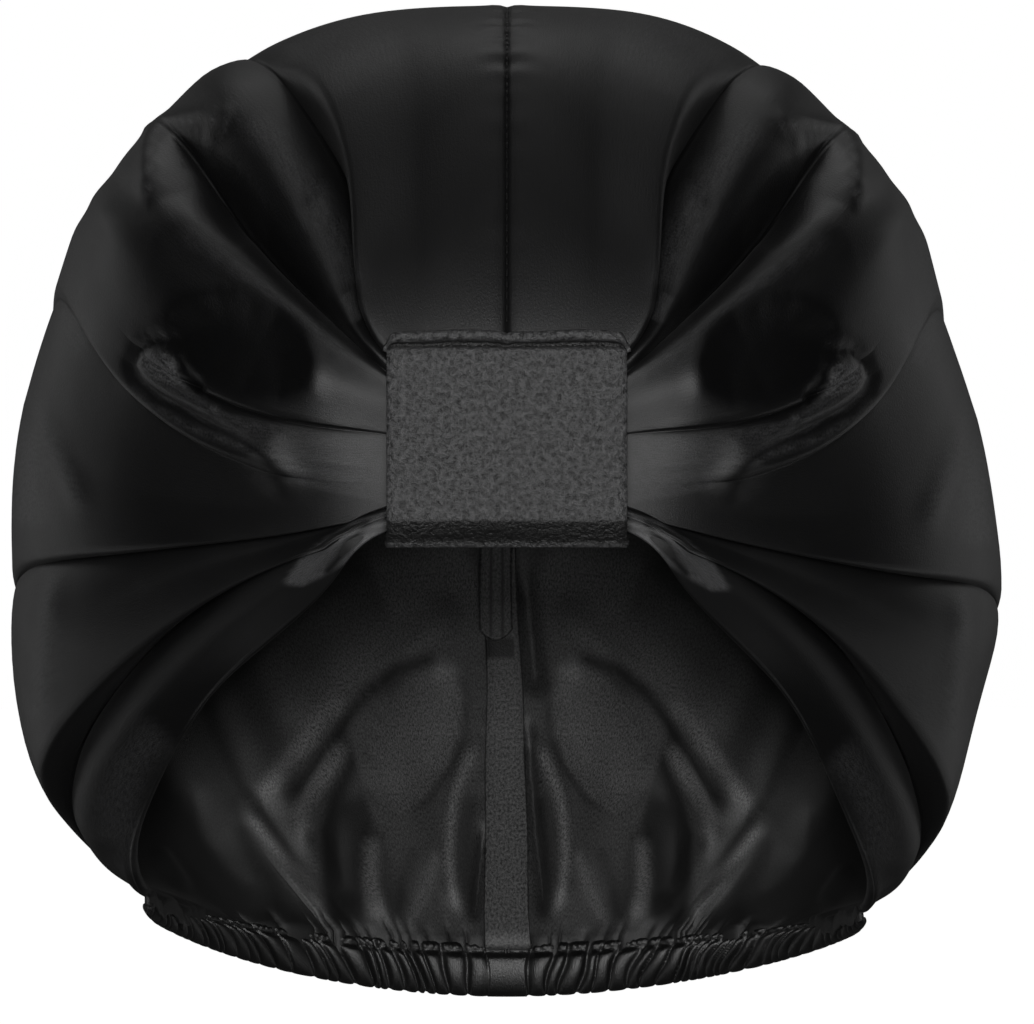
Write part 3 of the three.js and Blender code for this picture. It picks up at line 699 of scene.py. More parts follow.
@dataclass(frozen=True)
class SatinFinish:
    """Polyester satin: long floats of bright thread over a dull ground, woven and dyed black.

    The floats give a broad soft gleam with a fine sparkle. Real threads are about 0.1 mm apart,
    too fine to show, so the grain is drawn six times as coarse, and fifteen times on the loop.

    Attributes:
        name: the material's name.
        colour: the dyed cloth.
        lit: the paler colour of the floats that catch the light.
        roughness: how wide the gleam is.
        anisotropy: how far the floats stretch it.
        grain_mm: the size of the sparkle.
        grain: how strong the sparkle is.
        sheen: the veil of loose fibres.
        gleam: how much the floats reflect.
        streak: how far the floats show as fine streaks along the cloth.
        ior: polyester's, or more where the bright floats lie packed close together.
        bright: the attribute that holds the painted light and shade.
        painted_highlight: the painted highlight colour that the attribute mixes in.
    """

    name: str
    colour: str = "040404"
    lit: str = "08080a"
    roughness: float = 0.48
    anisotropy: float = 0.3
    grain_mm: float = 0.6
    grain: float = 0.2
    sheen: float = 0.02
    gleam: float = 0.9
    streak: float = 0.4
    ior: float = 1.5
    bright: str = Part.FRONT.value
    painted_highlight: str = "646465"

    def build(self) -> bpy.types.Material:
        """Makes the material.

        Returns:
            The material, with its weave on the cloth's own UV map.
        """
        material, tree = new_material(self.name)
        cloth = add_node(tree, "ShaderNodeUVMap", uv_map=CLOTH_MAP).outputs["UV"]
        grain = add_node(tree, "ShaderNodeTexNoise",
                         {"Vector": cloth, "Scale": 1 / (self.grain_mm * MM), "Detail": 3.0,
                          "Roughness": 0.7}).outputs["Fac"]
        # Floats run along the cloth: the same noise, drawn out five times as long as it is wide.
        drawn = add_node(tree, "ShaderNodeMapping", {"Vector": cloth, "Scale": (1.0, 0.2, 1.0)})
        floats = add_node(tree, "ShaderNodeTexNoise",
                          {"Vector": drawn.outputs["Vector"], "Scale": 1 / (0.8 * MM),
                           "Detail": 1.0}).outputs["Fac"]
        # Handling leaves soft clouds, a few centimetres wide, where the floats lie differently.
        clouds = add_node(tree, "ShaderNodeTexNoise",
                          {"Vector": cloth, "Scale": 1 / (38 * MM), "Detail": 3.0}).outputs["Fac"]
        drawn_floats = add_node(tree, "ShaderNodeMath", {0: floats, 1: self.streak},
                                operation="MULTIPLY")
        weave = add_node(tree, "ShaderNodeMath", {0: grain, 1: drawn_floats.outputs[0]},
                         operation="ADD")
        middle = 0.5 + 0.5 * self.streak
        share = add_node(tree, "ShaderNodeMapRange",
                         {"Value": weave.outputs[0], "From Min": middle - 0.14,
                          "From Max": middle + 0.14})
        colour = add_node(tree, "ShaderNodeMix",
                          {0: share.outputs["Result"], 6: linear_colour(self.colour),
                           7: linear_colour(self.lit)}, data_type="RGBA")
        # Painted light and shade: the attribute mixes the painted highlight colour into the
        # grain's colour, speckled by the grain, and where it is below 0 it lowers the roughness as
        # painted shade.
        painted_amount = add_node(tree, "ShaderNodeAttribute", attribute_name=self.bright)
        speckle = add_node(tree, "ShaderNodeMapRange",
                           {"Value": share.outputs["Result"], "To Min": 0.1, "To Max": 1.0})
        highlight_share = add_node(tree, "ShaderNodeMath", {0: painted_amount.outputs["Fac"],
                                                     1: speckle.outputs["Result"]},
                            operation="MULTIPLY")
        # The dyed colour with the painted highlight mixed in.
        dyed = add_node(tree, "ShaderNodeMix",
                        {0: highlight_share.outputs[0], 6: colour.outputs[2],
                         7: linear_colour(self.painted_highlight)}, data_type="RGBA")
        rough = add_node(tree, "ShaderNodeMapRange",
                         {"Value": clouds, "From Min": 0.3, "From Max": 0.7,
                          "To Min": self.roughness - 0.04, "To Max": self.roughness + 0.04})
        smooth = add_node(tree, "ShaderNodeMapRange",
                          {"Value": painted_amount.outputs["Fac"], "From Min": -1.0, "From Max": 0.0,
                           "To Min": -0.2, "To Max": 0.0})
        rough = add_node(tree, "ShaderNodeMath", {0: rough.outputs["Result"],
                                                  1: smooth.outputs["Result"]}, operation="ADD")
        bump = add_node(tree, "ShaderNodeBump",
                        {"Height": weave.outputs[0], "Strength": self.grain,
                         "Distance": self.grain_mm * MM})
        tangent = add_node(tree, "ShaderNodeTangent", direction_type="UV_MAP", uv_map=CLOTH_MAP)
        shader = add_node(tree, "ShaderNodeBsdfPrincipled",
                          {"Base Color": dyed.outputs[2], "Roughness": rough.outputs[0],
                           "Anisotropic": self.anisotropy, "Tangent": tangent.outputs["Tangent"],
                           "Normal": bump.outputs["Normal"], "Sheen Weight": self.sheen,
                           "Sheen Roughness": 0.4, "IOR": self.ior,
                           "Specular IOR Level": self.gleam})
        add_node(tree, "ShaderNodeOutputMaterial", {"Surface": shader.outputs["BSDF"]})
        return material


@dataclass(frozen=True)
class ThreadFinish:
    """Twisted polyester sewing thread, dyed to match: duller than the satin, with a fine twist.

    Attributes:
        name: the material's name.
        colour: the dyed thread.
        twist_mm: from one turn of the twist to the next.
    """

    name: str
    colour: str = "0c0c0c"
    twist_mm: float = 0.35

    def build(self) -> bpy.types.Material:
        """Makes the material.

        Returns:
            The material, with its twist on the thread's own coordinates.
        """
        material, tree = new_material(self.name)
        place = add_node(tree, "ShaderNodeTexCoord").outputs["Object"]
        twist = add_node(tree, "ShaderNodeTexNoise",
                         {"Vector": place, "Scale": 1 / (self.twist_mm * MM), "Detail": 1.0})
        bump = add_node(tree, "ShaderNodeBump",
                        {"Height": twist.outputs["Fac"], "Strength": 0.4, "Distance": 0.1 * MM})
        shader = add_node(tree, "ShaderNodeBsdfPrincipled",
                          {"Base Color": linear_colour(self.colour), "Roughness": 0.6,
                           "Normal": bump.outputs["Normal"], "Sheen Weight": 0.1})
        add_node(tree, "ShaderNodeOutputMaterial", {"Surface": shader.outputs["BSDF"]})
        return material


# Painted highlight colours, mixed in where a piece's attribute holds painted light: 646465 on the
# panels' outside, 9c9c9c inside them, 8c8c8c on the strip and tab, 666667 on the loop; the casing
# has no such attribute.
PANEL_SATIN = SatinFinish("woven_polyester_satin")
PANEL_REVERSE = SatinFinish("satin_dull_side", colour="0a0a0a", lit="1c1c1c", roughness=0.56,
                            gleam=1.0, grain=0.3, anisotropy=0.0, streak=0.1,
                            bright=Part.BACK.value, painted_highlight="9c9c9c")
REVERSE_SATIN = replace(PANEL_REVERSE, name="strip_dull_side", grain=0.4, ior=1.55,
                        painted_highlight="8c8c8c")
LOOP_SATIN = SatinFinish("double_satin_painted_light", colour="080808", lit="141414", roughness=0.5,
                         gleam=1.0, grain_mm=1.5, grain=0.6, anisotropy=0.0, streak=0.1,
                         painted_highlight="666667")
CASING_SATIN = SatinFinish("gathered_satin", colour="060606", lit="141414", roughness=0.42,
                           grain=0.3, gleam=1.0, ior=1.6)
THREAD = ThreadFinish("sewing_thread")


# ---- meshes ------------------------------------------------------------------------------------


def add_object(name: str, data: bpy.types.ID) -> bpy.types.Object:
    """Adds an object to the scene.

    Args:
        name: its name.
        data: its mesh, light or camera.

    Returns:
        The new object.
    """
    added = bpy.data.objects.new(name, data)
    bpy.context.scene.collection.objects.link(added)
    return added


@contextmanager
def edited(mesh: bpy.types.Mesh) -> Iterator[bmesh.types.BMesh]:
    """Opens a mesh for bmesh operators, and writes their work back to it.

    Args:
        mesh: the mesh.

    Yields:
        The mesh in the form that the operators take.
    """
    opened = bmesh.new()
    opened.from_mesh(mesh)
    yield opened
    opened.to_mesh(mesh)
    opened.free()


def place_points(points: np.ndarray) -> np.ndarray:
    """Turns millimetres below the crown into metres in the frame."""
    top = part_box("crown_left")[1][2] / MM
    return (points + (0, 0, top - CROWN_RISE)) * MM


def cloth_grid(name: str, points: np.ndarray, cloth: np.ndarray, join: bool = False,
               painted_layers: dict[str, np.ndarray] | None = None) -> bpy.types.Object:
    """Makes a sheet from a grid, shaped to rows of points.

    Args:
        name: the piece's name.
        points: the points in millimetres, by row and column.
        cloth: where each point lies on the flat cloth, in metres, by row and column.
        join: whether the last column is sewn to the first.
        painted_layers: the painted light and shade at each point, by the attribute's name.

    Returns:
        The new object, with its cloth map.
    """
    rows, columns = points.shape[:2]
    mesh = bpy.data.meshes.new(name)
    with edited(mesh) as sheet:
        sheet.loops.layers.uv.new(CLOTH_MAP)
        bmesh.ops.create_grid(sheet, x_segments=columns - 1, y_segments=rows - 1, size=0.5,
                              calc_uvs=True)
    flat = np.zeros(len(mesh.vertices) * 3, np.float32)
    mesh.vertices.foreach_get("co", flat)
    flat = flat.reshape(-1, 3) + 0.5
    column = np.rint(flat[:, 0] * (columns - 1)).astype(int)
    row = np.rint(flat[:, 1] * (rows - 1)).astype(int)
    mesh.vertices.foreach_set("co", place_points(points[row, column]).astype(np.float32).ravel())
    corner = np.zeros(len(mesh.loops), np.int32)
    mesh.loops.foreach_get("vertex_index", corner)
    mesh.uv_layers[CLOTH_MAP].uv.foreach_set(
        "vector", cloth[row, column][corner].astype(np.float32).ravel())
    for attribute, values in (painted_layers or {}).items():
        mesh.attributes.new(attribute, "FLOAT", "POINT").data.foreach_set(
            "value", values[row, column].astype(np.float32).ravel())
    if join:
        with edited(mesh) as tube:
            bmesh.ops.remove_doubles(tube, verts=tube.verts, dist=1e-6)
    mesh.shade_smooth()
    return add_object(name, mesh)


def give_wall(piece: bpy.types.Object, thickness: float) -> None:
    """Gives a sheet its thickness, towards the inside of the bonnet.

    Args:
        piece: the sheet.
        thickness: how thick it gets, in millimetres.
    """
    wall = piece.modifiers.new("wall", "SOLIDIFY")
    wall.thickness = thickness * MM
    wall.offset = -1.0
    wall.use_even_offset = False
    wall.material_offset = 1             # the inner face has the piece's second finish, if any


def dress(piece: bpy.types.Object, material: bpy.types.Material, slot: str, *replaced: str,
          inside: bpy.types.Material | None = None) -> None:
    """Puts a finish on a piece, hangs it from the root body and hides the frame's nodes that it
    stands for.

    Args:
        piece: the new piece.
        material: its finish.
        slot: the record's slot; not used.
        *replaced: the frame's nodes that it stands for.
        inside: the finish of its inner face, where that differs.
    """
    piece.data.materials.append(material)
    if inside:
        piece.data.materials.append(inside)
    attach(piece, "root")
    if replaced:
        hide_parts(*replaced)
    size = [round(float(v), 4) for v in piece.dimensions]
    LOG.info("%s: %d faces, %s m", piece.name, len(piece.data.polygons), size)


# ---- the crown ---------------------------------------------------------------------------------

CROWN_RISE = 0.03        # the folds stand this far above the top of the form

# Rows lie closest together over the front's folds and by the gathers at the nape.
ROW_SHARES = (0, 0.03, 0.58, 0.71, 1)
ROW_PLACES = (0, 0.05, 0.46, 0.80, 1)


@dataclass
class CrownPanel:
    """One of the two mirrored satin panels, from the seam to the edge round the face.

    Attributes:
        side: the side that it is on.
        form: the plain form that both share.
        rows: steps along the cloth.
        columns: steps across it, shared out among the folds.
        wall: the cloth's thickness, three times the real one so that its edges show.
        hem_radius: the soft roll of its face edge.
        hem_return: how far the hem goes back inside.
    """

    side: Side
    form: BonnetForm
    rows: int = 240
    columns: int = 150
    wall: float = 0.7
    hem_radius: float = 1.2
    hem_return: float = 8.0

    def build(self) -> bpy.types.Object:
        """Makes the panel's mesh: a sheet with a rolled hem, its other ends tucked away.

        Returns:
            The panel.
        """
        points, cloth, painted_layers = self.points()
        if self.side is Side.LEFT:
            points = points[:, ::-1] * (-1, 1, 1)
            cloth = cloth[:, ::-1]
            painted_layers = {name: values[:, ::-1] for name, values in painted_layers.items()}
        else:
            points = lopside(points)
        panel = cloth_grid(f"crown_panel_{self.side.name.lower()}", points, cloth, painted_layers=painted_layers)
        give_wall(panel, self.wall)
        return panel

    def fold_table(self, along: np.ndarray) -> tuple[np.ndarray, np.ndarray, np.ndarray]:
        """Reads the folds at each row.

        Args:
            along: the rows' places.

        Returns:
            Where each fold runs, how high it stands and how far it leans, by fold and row.
        """
        line_weights = spline_weights(FOLD_LINE, along)
        lines = np.array([line_weights @ fold.across for fold in FOLDS])
        heights = np.array([steady_curve(FOLD_HEIGHT, fold.height, along) for fold in FOLDS])
        lean = np.array([fold.lean for fold in FOLDS])[:, None]
        reach = np.clip((along - 0.06) / 0.06, 0, 1) * np.clip((0.95 - along) / 0.25, 0, 1)
        drop = heights - np.roll(heights, -1, axis=0)
        leans = lean * reach * np.clip(drop / 3, 0, 1)
        return lines, heights, leans

    def column_shares(self) -> list[tuple[int, Fold, np.ndarray, np.ndarray]]:
        """Shares the columns out among the folds, closer together where a crease turns.

        Returns:
            For each stretch from one fold to the next: its number, the fold whose crease bounds
            it, how far across it each column lies, and how far a sharp crease has turned there.
        """
        stretches = []
        for i, (fold, after) in enumerate(zip(FOLDS, FOLDS[1:])):
            width = np.mean(np.subtract(after.across, fold.across))
            count = max(6, round(self.columns * width))
            step = np.arange(count + (i == len(FOLDS) - 2)) / count
            turn = step * math.pi / 2
            if after.crease:
                share = mix(step, np.sin(turn), after.crease)
                sharp = 1 - np.sqrt(1 - share ** 2)
                creased = after
            else:
                share = mix(step, 1 - np.cos(turn), fold.crease)
                sharp = np.sqrt(1 - (1 - share) ** 2)
                creased = fold
            stretches.append((i, creased, share, sharp))
        return stretches

    def points(self) -> tuple[np.ndarray, np.ndarray, dict[str, np.ndarray]]:
        """Works out the panel's points.

        Returns:
            The points in millimetres, their places on the flat cloth in metres, and the painted
            light and shade at them on either face.
        """
        rows = np.interp(np.linspace(0, 1, self.rows + 1), ROW_SHARES, ROW_PLACES)
        lines, heights, leans = self.fold_table(rows)
        across, height, lean = [], [], []
        for i, creased, share, sharp in self.column_shares():
            crease = creased.crease * ramp(rows, creased.sharp_to + 0.1, creased.sharp_to)
            for s, t in zip(share, sharp):
                turned = mix(s * s * (3 - 2 * s), t, crease)
                across.append(mix(lines[i], lines[i + 1], s))
                height.append(mix(heights[i], heights[i + 1], turned))
                lean.append(mix(leans[i], leans[i + 1], turned))
        across, height, lean = (np.array(v).T for v in (across, height, lean))
        along = np.broadcast_to(rows[:, None], across.shape)
        outward, sideways = self.form.directions(across, along)
        points = self.form.point(across, along)
        points = points + outward * height[..., None] + sideways * lean[..., None]
        points += outward * self.details(points, across, along)[..., None]
        points, across = self.roll_hem(points, outward, sideways, across, rows)
        points[..., 0] = np.maximum(points[..., 0], SEAM_HALF_GAP)
        points, across = self.turn_seam(points, outward, across)
        points, across, rows = self.tuck(points, across, rows)
        along = np.broadcast_to(rows[:, None], across.shape)
        cloth = np.stack([across * CLOTH_WIDTH, along * CLOTH_LENGTH], axis=-1) * MM
        # The painted light and shade on each face, by its attribute.
        painted_layers = {part.value: self.painted_light(points, across, along, part) for part in Part}
        return points, cloth, painted_layers

    @staticmethod
    def as_seen(points: np.ndarray) -> np.ndarray:
        """Looks at points from the front.

        Args:
            points: the points in millimetres.

        Returns:
            Their (x, z) places, as the camera sees them at the head's middle.
        """
        nearness = VIEW_DISTANCE / (VIEW_DISTANCE + points[..., 1])
        return np.stack([points[..., 0] * nearness,
                         VIEW_HEIGHT + (points[..., 2] - VIEW_HEIGHT) * nearness], axis=-1)

    def painted_light(self, points: np.ndarray, across: np.ndarray, along: np.ndarray,
              part: Part) -> np.ndarray:
        """Works out the painted light and shade at each point of a part.

        Args:
            points: the panel's points.
            across: their places across the cloth.
            along: their places along the cloth.
            part: the part of the panel.

        Returns:
            The painted light: 0 for plain cloth, 1 for the full painted highlight, and less than 0
            for painted shade that also lowers the roughness.
        """
        flat = self.as_seen(points)
        reached = ramp(along, FRONT_END, FRONT_END + 0.06)
        if part is Part.FRONT:              # the drape beside the face is in front all the way
            reached = np.maximum(ramp(along, FRONT_END, FRONT_END - 0.12),
                                 ramp(across, 0.76, 0.8))
        bright = np.zeros(along.shape)
        for mark in PAINTED_MARKS:
            if mark.part is not part:
                continue
            distance, place = distance_to_line(flat, mark.places, mark.closed)
            if mark.closed:
                inside = inside_outline(flat, mark.places)
                share = ramp(np.where(inside, distance, -distance), -mark.edge / 2, mark.edge / 2)
            else:
                ends = ramp(np.minimum(place, 1 - place), 0, 0.12)
                share = ends * np.exp(-(distance / mark.edge) ** 2)
            bright = mix(bright, mark.share, share * reached)
        return bright

    def details(self, points: np.ndarray, across: np.ndarray, along: np.ndarray) -> np.ndarray:
        """Works out the small folds, as heights over the panel.

        Args:
            points: the folded panel.
            across: each point's place across the cloth.
            along: its place along the cloth.

        Returns:
            How far each point moves outward.
        """
        flat = self.as_seen(points)
        height = np.zeros(across.shape)
        for mark in RIDGES:
            if mark.side not in (None, self.side):
                continue
            distance, place = distance_to_line(flat, mark.places, closed=False)
            fade = ramp(np.minimum(place, 1 - place), 0, mark.ends)
            bump = mark.height * fade * np.exp(-(distance / mark.width) ** 2)
            height += np.where(self.on_part(along, mark.part), bump, 0)
        for mark in PATCHES:
            distance, _ = distance_to_line(flat, mark.places, closed=True)
            inside = inside_outline(flat, mark.places) & self.on_part(along, mark.part)
            swell = np.sin(math.pi / 2 * np.clip(distance / mark.edge, 0, 1))
            height += np.where(inside, mark.height * swell, 0)
        return height + self.nape_gathers(across, along) + self.seam_groove(points, along)

    @staticmethod
    def on_part(along: np.ndarray, part: Part) -> np.ndarray:
        """Tells which points lie on a part of the panel."""
        return along <= FRONT_END if part is Part.FRONT else along >= FRONT_END

    def nape_gathers(self, across: np.ndarray, along: np.ndarray) -> np.ndarray:
        """Draws the gathers that rise from the casing, each as far as it reaches.

        Args:
            across: each point's place across the cloth.
            along: its place along the cloth.

        Returns:
            How far each point moves outward.
        """
        foot = self.form.point(across[:1], np.ones_like(across[:1]))
        above = self.form.point(across[:1], np.full_like(across[:1], STATIONS[-2]))
        climb = np.linalg.norm(above - foot, axis=-1) / (1 - STATIONS[-2])
        angle = np.arcsin(np.clip(foot[..., 0] / NAPE_HALF_WIDTH, 0, 1))
        place = np.broadcast_to(self.side.value * nape_length(angle), across.shape)
        valley, reach = GATHERS.at(place)
        rise = (1 - along) * climb
        fold = 1.5 * valley * ramp(rise, reach, 0.15 * reach)
        swell = 0.8 * np.sin(place / 2.9 + 1) * ramp(rise, 26, 4) * ramp(across, 0.02, 0.08)
        return fold + swell

    @staticmethod
    def seam_groove(points: np.ndarray, along: np.ndarray) -> np.ndarray:
        """Sinks the centre seam and puckers the cloth beside it.

        Args:
            points: the folded panel.
            along: each point's place along the cloth.

        Returns:
            How far each point moves outward.
        """
        x = points[..., 0]
        groove = -0.7 * np.exp(-(x / 1.5) ** 2)
        length = along * CLOTH_LENGTH
        pucker = np.sin(2 * math.pi * length / 6.1) + 0.7 * np.sin(2 * math.pi * length / 9.7 + 1)
        return groove + 0.28 * pucker * np.exp(-(x / 5) ** 2) * ramp(along, 0.08, 0.3)

    def roll_hem(self, points: np.ndarray, outward: np.ndarray, sideways: np.ndarray,
                 across: np.ndarray, rows: np.ndarray) -> tuple[np.ndarray, np.ndarray]:
        """Adds the hem: the face edge rolls inward and goes a little way back inside.

        Args:
            points: the panel's points.
            outward: its outward directions.
            sideways: its directions towards the face edge.
            across: the points' places across the cloth.
            rows: the rows' places.

        Returns:
            The points and their places across the cloth, with the hem's columns added.
        """
        size = mix(0.35, 1, ramp(rows, 0.06, 0.5) * ramp(rows, 1.0, 0.93))[:, None]
        radius = self.hem_radius * size
        out, side = outward[:, -1], sideways[:, -1]
        edge = points[:, -1] - side * (radius - 0.5)        # the roll stands 0.5 past the edge
        points = np.concatenate([points[:, :-1], edge[:, None]], axis=1)
        new_points, new_across = [], []
        for angle in np.linspace(0, math.pi, 10)[1:]:
            lift = out * radius * (math.cos(angle) - 1)
            new_points.append(edge + lift + side * radius * math.sin(angle))
            new_across.append(across[:, -1] + angle * self.hem_radius / CLOTH_WIDTH)
        folded, place = new_points[-1], new_across[-1]
        for step in np.linspace(0, 1, 6)[1:]:
            new_points.append(folded - side * self.hem_return * size * step)
            new_across.append(place + step * self.hem_return / CLOTH_WIDTH)
        points = np.concatenate([points, np.stack(new_points, axis=1)], axis=1)
        across = np.concatenate([across, np.stack(new_across, axis=1)], axis=1)
        return points, across

    @staticmethod
    def turn_seam(points: np.ndarray, outward: np.ndarray,
                  across: np.ndarray) -> tuple[np.ndarray, np.ndarray]:
        """Adds columns that turn the cloth inward where it is sewn to the other panel.

        Args:
            points: the panel's points.
            outward: its outward directions.
            across: the points' places across the cloth.

        Returns:
            The points and their places across the cloth, with the turned columns first.
        """
        turned = [points[:, 0] - outward[:, 0] * depth for depth in SEAM_TURNS]
        places = [across[:, 0] - depth * MM for depth in SEAM_TURNS]
        return (np.concatenate([np.stack(turned, axis=1), points], axis=1),
                np.concatenate([np.stack(places, axis=1), across], axis=1))

    @staticmethod
    def tuck(points: np.ndarray, across: np.ndarray,
             rows: np.ndarray) -> tuple[np.ndarray, np.ndarray, np.ndarray]:
        """Adds rows that carry the panel's foot down inside the casing.

        Args:
            points: the panel's points.
            across: their places across the cloth.
            rows: the rows' places.

        Returns:
            The same three, with the new rows.
        """
        steps = np.linspace(0, 1, 6)[1:]
        foot = points[-1]
        angle = np.arcsin(np.clip(foot[:, 0] / NAPE_HALF_WIDTH, -1, 1))
        _, half_height, _ = NapeCasing.section(angle)
        down = np.zeros((len(steps),) + foot.shape)
        down[..., 2] = -steps[:, None] * (SEW_GAP + half_height)
        points = np.concatenate([points, foot + down])
        across = np.concatenate([across, np.repeat(across[-1:], len(steps), axis=0)])
        return points, across, np.concatenate([rows, 1 + 0.02 * steps])


def distance_to_line(flat: np.ndarray, places: Sequence[tuple[float, float]],
                     closed: bool) -> tuple[np.ndarray, np.ndarray]:
    """Measures how far points are from a line of places.

    Args:
        flat: the points, as x and z along the last axis.
        places: the line's places.
        closed: whether it runs back to its start.

    Returns:
        Each point's distance, and the share of the line's length at which it is nearest.
    """
    line = np.array(list(places) + ([places[0]] if closed else []), float)
    starts = way_along(line)
    best = np.full(flat.shape[:-1], np.inf)
    place = np.zeros(flat.shape[:-1])
    for a, b, length, start in zip(line, line[1:], np.diff(starts), starts):
        share = np.clip(((flat - a) @ (b - a)) / length ** 2, 0, 1)
        distance = np.linalg.norm(flat - a - share[..., None] * (b - a), axis=-1)
        nearer = distance < best
        best = np.where(nearer, distance, best)
        place = np.where(nearer, (start + share * length) / starts[-1], place)
    return best, place


def inside_outline(flat: np.ndarray, places: Sequence[tuple[float, float]]) -> np.ndarray:
    """Tells which points lie inside a closed outline.

    Args:
        flat: the points, as x and z along the last axis.
        places: the outline's places.

    Returns:
        True for each point inside.
    """
    inside = np.zeros(flat.shape[:-1], bool)
    x, z = flat[..., 0], flat[..., 1]
    for (ax, az), (bx, bz) in zip(places, [*places[1:], places[0]]):
        if az == bz:
            continue
        crosses = (az > z) != (bz > z)
        inside ^= crosses & (x < ax + (z - az) * (bx - ax) / (bz - az))
    return inside


# ---- the front loop ----------------------------------------------------------------------------


@dataclass
class FrontLoop:
    """The flat band round the gathers at the forehead, rolled at the top and turned under.

    Attributes:
        width: from side to side.
        top: the height of the middle of the rolled edge.
        bottom: the height of the turn's lowest point.
        front: the depth of its face.
        lip_radius: the roll at the top.
        lip_stand: how far the roll stands out over the face.
        lip_gap: from the middle of the roll down to the face, with a gap between.
        gap_depth: how deep that gap is.
        turn_height: how far up the turn at the bottom reaches.
        depth: from its face to the back of its inner face.
        inner_top: the height where the inner face ends.
        wall: the doubled satin's thickness.
        columns: steps from side to side.
    """

    width: float = 57.0
    top: float = -81.2
    bottom: float = -131.0
    front: float = -115.3
    lip_radius: float = 1.3
    lip_stand: float = 1.2
    lip_gap: float = 3.0
    gap_depth: float = 2.4
    turn_height: float = 6.0
    depth: float = 8.4
    inner_top: float = -100.0
    wall: float = 1.0
    columns: int = 84

    def build(self) -> bpy.types.Object:
        """Makes the band's mesh and its wall.

        Returns:
            The loop.
        """
        section = self.section()
        x = np.linspace(1, -1, self.columns + 1)
        x = np.sign(x) * (1 - (1 - np.abs(x)) ** 1.5)
        points = np.zeros((len(section), len(x), 3))
        points[..., 0] = x * self.width / 2
        points[..., 1] = section[:, :1]
        points[..., 2] = section[:, 1:]
        points = self.soften(points, x)
        down = way_along(section)[:, None]
        cloth = np.stack(np.broadcast_arrays(x * self.width / 2, down), axis=-1) * MM
        # Painted light: the face gets a painted highlight and the turn below it is left dark as
        # painted shade; the gap under the rolled edge is a painted shadow, and the turn's lowest
        # edge a thin painted highlight.
        height, back = points[..., 2], points[..., 1] - self.front
        painted_light = ramp(height, self.bottom + self.turn_height - 0.4,
                     self.bottom + self.turn_height + 0.6) * ramp(back, 3.0, 2.0)
        # The painted shadow in the gap under the rolled edge.
        gap = (ramp(height, self.top - self.lip_gap, self.top - self.lip_gap + 0.3)
               * ramp(height, self.top, self.top - 1))
        painted_light *= 1 - gap * ramp(back, 0.2, 0.8)
        # A thin painted highlight along the turn's lowest edge.
        painted_light = np.maximum(painted_light, 0.5 * ramp(height, self.bottom + 1, self.bottom + 0.3))
        loop = cloth_grid("loop_band", points, cloth, painted_layers={Part.FRONT.value: painted_light})
        give_wall(loop, self.wall)
        return loop

    def section(self) -> np.ndarray:
        """Works out the band's section, from the rolled edge over the face to the inner face.

        Returns:
            The section's depths and heights.
        """
        lip_y = self.front + self.lip_radius - self.lip_stand
        face_start = self.top - self.lip_gap
        roll = np.radians(np.linspace(-70, 285, 28))
        lip = [(lip_y + self.lip_radius * math.cos(a), self.top + self.lip_radius * math.sin(a))
               for a in roll]
        gap = [(self.front + self.gap_depth, self.top - drop) for drop in (1.5, 2.5)]
        face_end = self.bottom + self.turn_height
        face = [(self.front, z) for z in np.linspace(face_start, face_end, 60)]
        half = self.depth / 2
        turn = []
        for a in np.linspace(0, math.pi, 48)[1:]:
            rim = 1 + 0.16 * math.exp(-((a - 1.25) / 0.12) ** 2)    # the fold's pressed edge
            flat = math.copysign(abs(math.cos(a)) ** 1.7, math.cos(a))
            turn.append((self.front + half - half * rim * flat,
                         face_end - self.turn_height * rim * math.sin(a) ** 1.7))
        back = [(self.front + self.depth, z)
                for z in np.linspace(face_end, self.inner_top, 16)[1:]]
        return np.array([*lip, *gap, *face, *turn, *back])

    def soften(self, points: np.ndarray, x: np.ndarray) -> np.ndarray:
        """Gives the flat band the unevenness of cloth.

        Args:
            points: the band's points.
            x: each column's place, from -1 to 1.

        Returns:
            The points, with the sides turned back and the lip's corners curled down.
        """
        z = points[..., 2]
        side = np.abs(x)[None, :]
        face = ramp(z, self.bottom, self.bottom + 8) * (points[..., 1] < self.front + 2)
        bulge = 0.7 * (1 - side ** 2)
        wave = 0.14 * np.sin(points[..., 0] / 5.3 + z / 17) + 0.1 * np.sin(z / 4.1 + x * 2.2)
        turned_back = 0.8 * side ** 26
        points[..., 1] += face * (0.4 - bulge + wave) + turned_back
        lip = ramp(z, self.top - 3.5, self.top - 1)
        corners = 2.6 * side ** 40
        nick = 0.5 * np.exp(-(points[..., 0] / 0.9) ** 2)       # where the centre seam meets it
        points[..., 2] -= lip * (corners + 0.25 * np.sin(x * 6.5 + 0.7) + nick)
        return points


# ---- the nape casing ---------------------------------------------------------------------------


